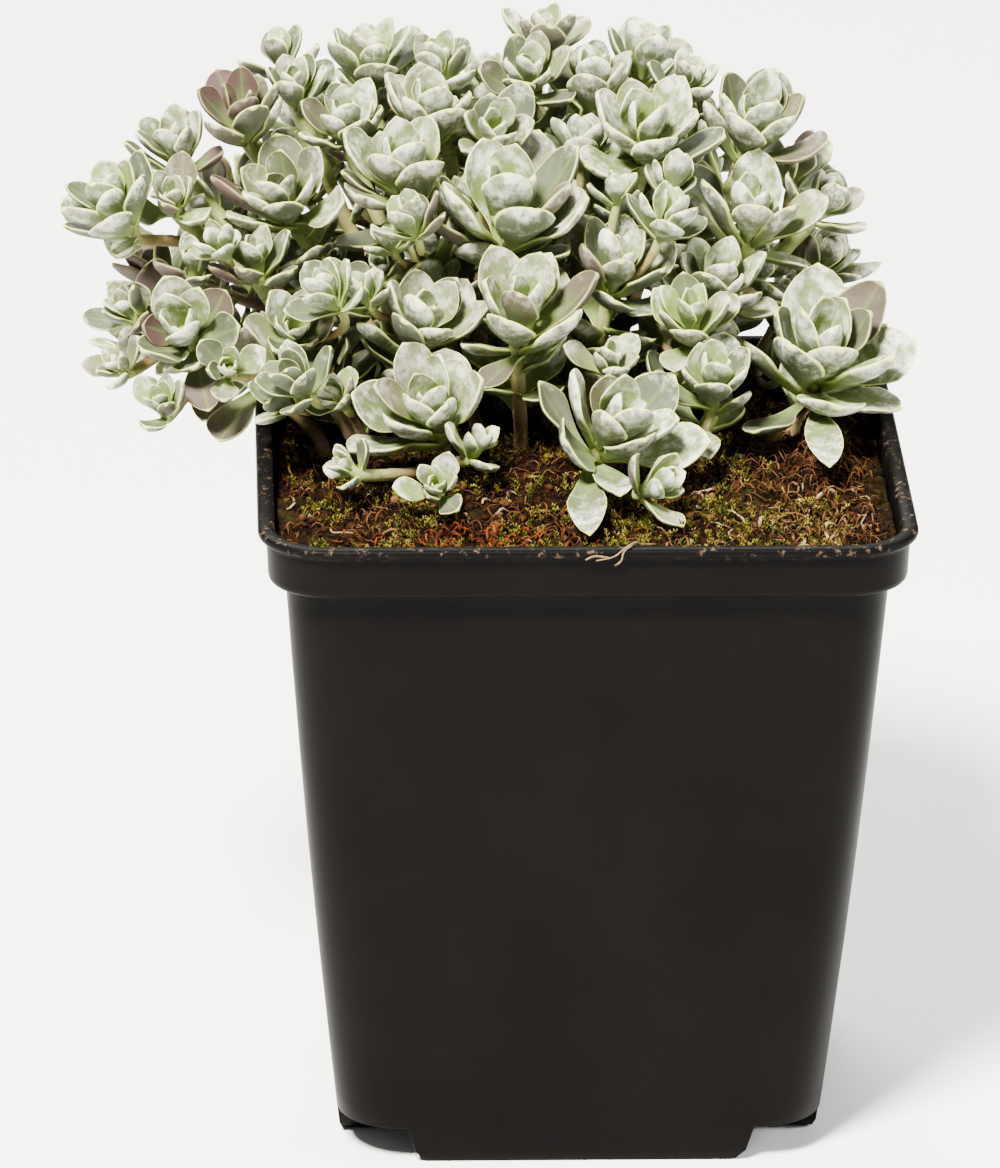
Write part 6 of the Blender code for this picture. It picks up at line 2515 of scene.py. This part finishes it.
@dataclass
class Litter:
    """What lies and grows on the peat: crumbs, fibres, straw, moss and thin roots."""

    material: bpy.types.Material
    browns: tuple[str, ...] = (
        "#2E1B0C", "#432813", "#5C3A1B", "#1D1108", "#745030", "#38210F", "#8A6238")
    oranges: tuple[str, ...] = ("#8E4A1C", "#A05A24", "#6E3414")
    mats: tuple[str, ...] = ("#5E3820", "#7E5230", "#4A2A16", "#9C7648", "#3A2212", "#8C6238")
    straws: tuple[str, ...] = ("#C9A56B", "#D8BE8A", "#B98F55", "#E0CDA4")
    mosses: tuple[str, ...] = ("#8E8A2E", "#A39B38", "#6E7428", "#B8AE4A", "#585F22")
    root: str = "#C9AE88"
    reach: float = 40.6
    moss_reach: float = 40.2
    corner: float = 7.0
    crumbs: int = 1150
    sprigs: int = 1500
    strand_limit: float = 41.2
    root_limit: float = 41.0

    def __post_init__(self) -> None:
        """Start the random draws."""
        self.draw = random.Random(4117)

    def paint(self, codes: tuple[str, ...]) -> Point:
        """Choose one of the colours, a little varied.

        Args:
            codes: The colours as hex values.

        Returns:
            The red, green and blue.
        """
        red, green, blue, full = linear(self.draw.choice(codes))
        tone = 0.8 + 0.4 * self.draw.random()
        return (red * tone, green * tone, blue * tone)

    def spot(self, reach: float) -> tuple[float, float]:
        """Choose a place on the peat, inside the rounded lip.

        Args:
            reach: How far from the middle it may be.

        Returns:
            The x and y.
        """
        while True:
            x = self.draw.uniform(-reach, reach)
            y = self.draw.uniform(-reach, reach)
            if math.hypot(max(0.0, abs(x) - reach + self.corner),
                          max(0.0, abs(y) - reach + self.corner)) < self.corner:
                return x, y

    def place(self, draft: Draft, name: str, slot: str) -> bpy.types.Object:
        """Make the piece and let it ride with the pot.

        Args:
            draft: The mesh.
            name: The name of the piece.
            slot: Not used.

        Returns:
            The piece.
        """
        piece = draft.build(name, [self.material])
        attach(piece, "root")
        return piece

    def lumps(self) -> bpy.types.Object:
        """Make the small irregular lumps of peat.

        Returns:
            The piece.
        """
        draft = Draft()
        ball = bmesh.new()
        bmesh.ops.create_icosphere(ball, subdivisions=1, radius=1.0)
        base = np.array([tuple(vert.co) for vert in ball.verts])
        faces = [tuple(vert.index for vert in face.verts) for face in ball.faces]
        ball.free()
        for number in range(self.crumbs):
            x, y = self.spot(self.reach)
            size = 0.20 + 0.85 * self.draw.random() ** 3
            shift = Vector((x, y, number))
            bulge = np.array([1.0 + 0.55 * noise.noise(Vector(tuple(point)) * 1.4 + shift)
                              for point in base])
            scale = np.array((1.0, 0.7 + 0.5 * self.draw.random(),
                              0.6 + 0.3 * self.draw.random()))
            turn = self.draw.random() * math.pi
            spin = np.array(((math.cos(turn), -math.sin(turn), 0.0),
                             (math.sin(turn), math.cos(turn), 0.0), (0.0, 0.0, 1.0)))
            points = (base * bulge[:, None] * scale * size) @ spin.T
            points = points + np.array((x, y, peat_height(x, y) + 0.25 * size))
            draft.add(points, faces, Slot.LEAF, np.ones_like(points), base * size * 2.0 + number,
                      self.paint(self.browns))
        return self.place(draft, "peat_crumbs", "soil")

    def strand(self, draft: Draft, x: float, y: float, length: float, radius: float, lift: float,
               color: Point, flat: float) -> None:
        """Add one curved strand that lies on the peat.

        Args:
            draft: The mesh that takes it.
            x: Where it starts, to the right.
            y: Where it starts, to the back.
            length: Its length.
            radius: Its radius.
            lift: How high it may arch.
            color: Its colour.
            flat: Thickness for width.
        """
        heading = self.draw.random() * 2.0 * math.pi
        swerve = self.draw.uniform(-0.5, 0.5)
        arch = lift * self.draw.random()
        count = 6
        points = []
        for step in range(count):
            rise = arch * math.sin(math.pi * step / (count - 1))
            points.append(Vector((x, y, peat_height(x, y) + radius + rise)))
            x = within(x + math.cos(heading) * length / count, self.strand_limit)
            y = within(y + math.sin(heading) * length / count, self.strand_limit)
            heading += swerve + self.draw.uniform(-0.25, 0.25)
        radii = [radius * (0.6 + 0.4 * math.sin(math.pi * (step + 0.5) / count))
                 for step in range(count)]
        add_tube(draft, smooth_line(points, radii, 0.8), 5, Slot.LEAF, color,
                 self.draw.random() * 50.0, flat)

    def strands(self, name: str, *rows: tuple) -> bpy.types.Object:
        """Make a piece of many strands.

        Args:
            name: The name of the piece.
            rows: For each kind how many, the draw of its place and colours, its lengths, radii,
                lift and flatness.

        Returns:
            The piece.
        """
        draft = Draft()
        for count, choose, lengths, radii, lift, flat in rows:
            for number in range(count):
                x, y, codes = choose()
                length = self.draw.uniform(*lengths)
                radius = self.draw.uniform(*radii)
                self.strand(draft, x, y, length, radius, lift, self.paint(codes), flat)
        return self.place(draft, name, "soil")

    def fibres(self) -> bpy.types.Object:
        """Make brown and orange fibres, straw, and straw and orange scraps in their own corners.

        Returns:
            The piece.
        """
        draw = self.draw
        return self.strands(
            "peat_fibres",
            (1900, lambda: (*self.spot(self.reach),
                            self.browns if draw.random() < 0.88 else self.oranges),
             (1.2, 4.2), (0.05, 0.11), 0.9, 1.0),
            (110, lambda: (*self.spot(self.reach), self.straws),
             (1.0, 3.2), (0.12, 0.26), 0.6, 0.3),
            (46, lambda: (draw.uniform(16.0, 40.0), draw.uniform(-41.0, -14.0), self.straws),
             (2.0, 5.5), (0.14, 0.34), 1.0, 0.3),
            (150, lambda: (draw.gauss(-16.0, 8.0), draw.uniform(-41.0, -30.0), self.oranges),
             (1.0, 2.8), (0.14, 0.32), 1.2, 0.4))

    def mat_spot(self) -> tuple[float, float, tuple[str, ...]]:
        """Choose a place for a loose fibre, most often at the right.

        Returns:
            The x and y, and its colours.
        """
        while True:
            x, y = self.spot(self.reach)
            thick = 0.20 + 0.9 * blend(x, 14.0, 34.0) * blend(-y, -6.0, 10.0)
            thick = thick + 0.5 * noise.noise(Vector((x * 0.13, y * 0.13, 21.0)))
            if self.draw.random() <= thick:
                return x, y, self.mats

    def mat(self) -> bpy.types.Object:
        """Return the loose red-brown fibres that arch up off the peat."""
        return self.strands("peat_fibre_mat",
                            (1250, self.mat_spot, (1.2, 4.6), (0.08, 0.19), 1.9, 0.5))

    def sprig(self, draft: Draft, x: float, y: float, height: float, color: Point) -> None:
        """Add one moss sprig with small pointed leaves all the way up.

        Args:
            draft: The mesh that takes it.
            x: Where it stands, to the right.
            y: Where it stands, to the back.
            height: Its length.
            color: Its colour.
        """
        lean = self.draw.uniform(0.2, 1.1)
        heading = self.draw.random() * 2.0 * math.pi
        low = Vector((x, y, peat_height(x, y) - 0.3))
        high = low + Vector((math.cos(heading) * math.sin(lean),
                             math.sin(heading) * math.sin(lean), math.cos(lean))) * height
        bow = low.lerp(high, 0.5) + Vector((0.0, 0.0, 0.25 * height))
        add_tube(draft, smooth_line([low, bow, high], [0.09, 0.07, 0.03], 0.7), 4, Slot.LEAF,
                 color, self.draw.random() * 50.0)
        leaves = int(9 * height)
        points = []
        faces = []
        for leaf in range(leaves):
            part = (leaf + 1.0) / leaves
            root = np.array(bow * (2.0 * part * (1.0 - part)) + low * (1.0 - part) ** 2
                            + high * part ** 2)
            out = np.array((math.cos(2.4 * leaf), math.sin(2.4 * leaf), 0.75 + 0.7 * part))
            out /= np.linalg.norm(out)
            aside = np.cross(out, (0.0, 0.0, 1.0))
            aside /= np.linalg.norm(aside)
            reach = self.draw.uniform(0.55, 0.95) * (1.1 - 0.5 * part)
            first = len(points)
            points.extend((root, root + out * reach * 0.45 + aside * 0.13, root + out * reach,
                           root + out * reach * 0.45 - aside * 0.13))
            faces.append((first, first + 1, first + 2))
            faces.append((first, first + 2, first + 3))
        flat = np.array(points)
        draft.add(flat, faces, Slot.LEAF, np.ones_like(flat), flat * 0.5, color)

    def moss(self) -> bpy.types.Object:
        """Make moss in patches, thickest at the front and bare in the right corner.

        Returns:
            The piece.
        """
        draft = Draft()
        made = 0
        while made < self.sprigs:
            x, y = self.spot(self.moss_reach)
            thick = noise.noise(Vector((x * 0.11, y * 0.11, 7.0)))
            front = blend(-y, 12.0, 34.0) * blend(x, -12.0, 12.0)
            bare = blend(x, 23.0, 34.0) * blend(-y, -6.0, 8.0)
            if thick + 0.50 * front - 0.62 * bare + 0.30 * self.draw.random() >= 0.18:
                self.sprig(draft, x, y, self.draw.uniform(0.9, 2.2), self.paint(self.mosses))
                made += 1
        return self.place(draft, "moss", "leaf")

    def roots(self) -> bpy.types.Object:
        """Make the thin pale roots that lie on the peat and over the front lip.

        Returns:
            The piece.
        """
        routes = [
            ((9.0, -37.0, peat_height(9.0, -37.0) + 0.2), (7.0, -40.5, 94.2), (6.0, -42.8, 95.35),
             (4.6, -44.6, 95.25), (3.0, -45.25, 94.2), (0.6, -45.15, 93.6)),
            ((5.6, -43.6, 95.3), (4.4, -45.0, 94.9), (4.0, -45.2, 93.6), (3.2, -44.3, 92.6)),
            ((2.4, -45.2, 94.0), (0.4, -45.25, 94.3), (-0.8, -45.1, 93.7)),
        ]
        for x, y, length in ((-35.0, -30.0, 7.0), (38.0, -24.0, 6.0), (20.0, -38.0, 6.0),
                             (-20.0, 35.0, 8.0), (30.0, 30.0, 7.0), (-8.0, -38.0, 5.0)):
            route = []
            heading = self.draw.random() * 6.28
            for step in range(5):
                route.append((x, y, peat_height(x, y) + 0.3))
                x = within(x + math.cos(heading) * length / 5.0, self.root_limit)
                y = within(y + math.sin(heading) * length / 5.0, self.root_limit)
                heading += self.draw.uniform(-0.7, 0.7)
            routes.append(route)
        draft = Draft()
        for number, route in enumerate(routes):
            radii = [0.15 - 0.012 * spot for spot in range(len(route))]
            line = smooth_line([Vector(point) for point in route], radii, 0.5)
            add_tube(draft, line, 6, Slot.LEAF, linear(self.root)[:3], 9.0 * number)
        return self.place(draft, "thin_roots", "soil")


@dataclass(frozen=True)
class Lamp:
    """One soft round lamp, in metres and watts."""

    name: str
    place: Point
    size: float
    power: float
    color: str


@dataclass(frozen=True)
class Studio:
    """A plain pale floor, soft light and the camera of the photograph's view."""

    lamps: tuple[Lamp, ...] = (
        Lamp("key", (-0.45, -0.85, 1.45), 0.42, 215.0, "#FFFBF2"),
        Lamp("side", (1.15, -0.25, 0.60), 0.5, 22.0, "#FFFFFF"),
        Lamp("back", (-0.2, 1.1, 1.1), 0.8, 46.0, "#FFFEFA"))
    aim: Point = (0.0, 0.0, 0.09)
    floor_half: float = 6.0
    floor_z: float = -0.0002
    sky: str = "#F3F5F8"
    sky_strength: float = 0.38

    def camera(self) -> None:
        """Place the camera."""
        position, right, up, back = view_axes()
        data = bpy.data.cameras.new("view_camera")
        data.sensor_fit = "HORIZONTAL"
        data.sensor_width = SENSOR_WIDTH
        data.lens = VIEW_FOCAL / VIEW_WIDTH * SENSOR_WIDTH
        data.clip_start = 0.05
        data.clip_end = 20.0
        item = link("view_camera", data)
        rows = [(right[row], up[row], back[row], position[row] * MM) for row in range(3)]
        item.matrix_world = Matrix(rows + [(0.0, 0.0, 0.0, 1.0)])
        bpy.context.scene.camera = item

    def light(self, lamp: Lamp) -> None:
        """Add one lamp that faces the plant.

        Args:
            lamp: The lamp.
        """
        data = bpy.data.lights.new(lamp.name, "AREA")
        data.shape = "DISK"
        data.size = lamp.size
        data.energy = lamp.power
        data.color = linear(lamp.color)[:3]
        item = link(lamp.name, data)
        item.location = lamp.place
        way = Vector(self.aim) - Vector(lamp.place)
        item.rotation_euler = way.to_track_quat("-Z", "Y").to_euler()

    def floor(self) -> None:
        """Add the floor and the even light from all round."""
        paint = Paint("pale_floor")
        where = paint.add(Kind.OBJECT)
        color = paint.add(Kind.MIX, paint.add(Kind.NOISE, where, 3.0, 2.0, 0.6),
                          "#F4F4F2", "#F7F7F6")
        rough = paint.total(0.8, (paint.add(Kind.NOISE, where, 40.0, 2.0, 0.6), 0.1))
        mesh = bpy.data.meshes.new("floor")
        mesh.from_pydata([(x * self.floor_half, y * self.floor_half, self.floor_z)
                          for x, y in ((-1, -1), (1, -1), (1, 1), (-1, 1))], [], [(0, 1, 2, 3)])
        item = link("floor", mesh, paint.finish(color, rough, 0.1))
        world = bpy.data.worlds.new("studio")
        world.use_nodes = True
        background = world.node_tree.nodes["Background"]
        background.inputs[0].default_value = linear(self.sky)
        background.inputs[1].default_value = self.sky_strength
        bpy.context.scene.world = world

    def build(self) -> None:
        """Set up the studio."""
        self.camera()
        self.floor()
        for lamp in self.lamps:
            self.light(lamp)


def main() -> None:
    """Build the studio, the pot, the peat, the litter and every fine stem."""
    logging.basicConfig(level=logging.INFO, format="%(message)s")
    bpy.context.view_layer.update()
    Studio().build()
    pieces = [FinePot().build(PotFinish().make()), FinePeat().build(PeatFinish().make())]
    litter = Litter(LitterFinish().make())
    pieces += [litter.lumps(), litter.fibres(), litter.mat(), litter.moss(), litter.roots()]
    grown, shoots, crowd = grow_plant()
    finishes = [LeafFinish().make(), StemFinish().make()]
    for name, heads, strays in grown:
        own = [(number, shoot) for number, shoot in enumerate(shoots) if shoot.name == name]
        pieces.append(FineStem(name, own).build(finishes))
    pieces += Undergrowth(shoots, crowd).build(finishes)
    for piece in pieces:
        LOG.info("%s: %d faces", piece.name, len(piece.data.polygons))
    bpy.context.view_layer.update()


if __name__ == "__main__":
    main()
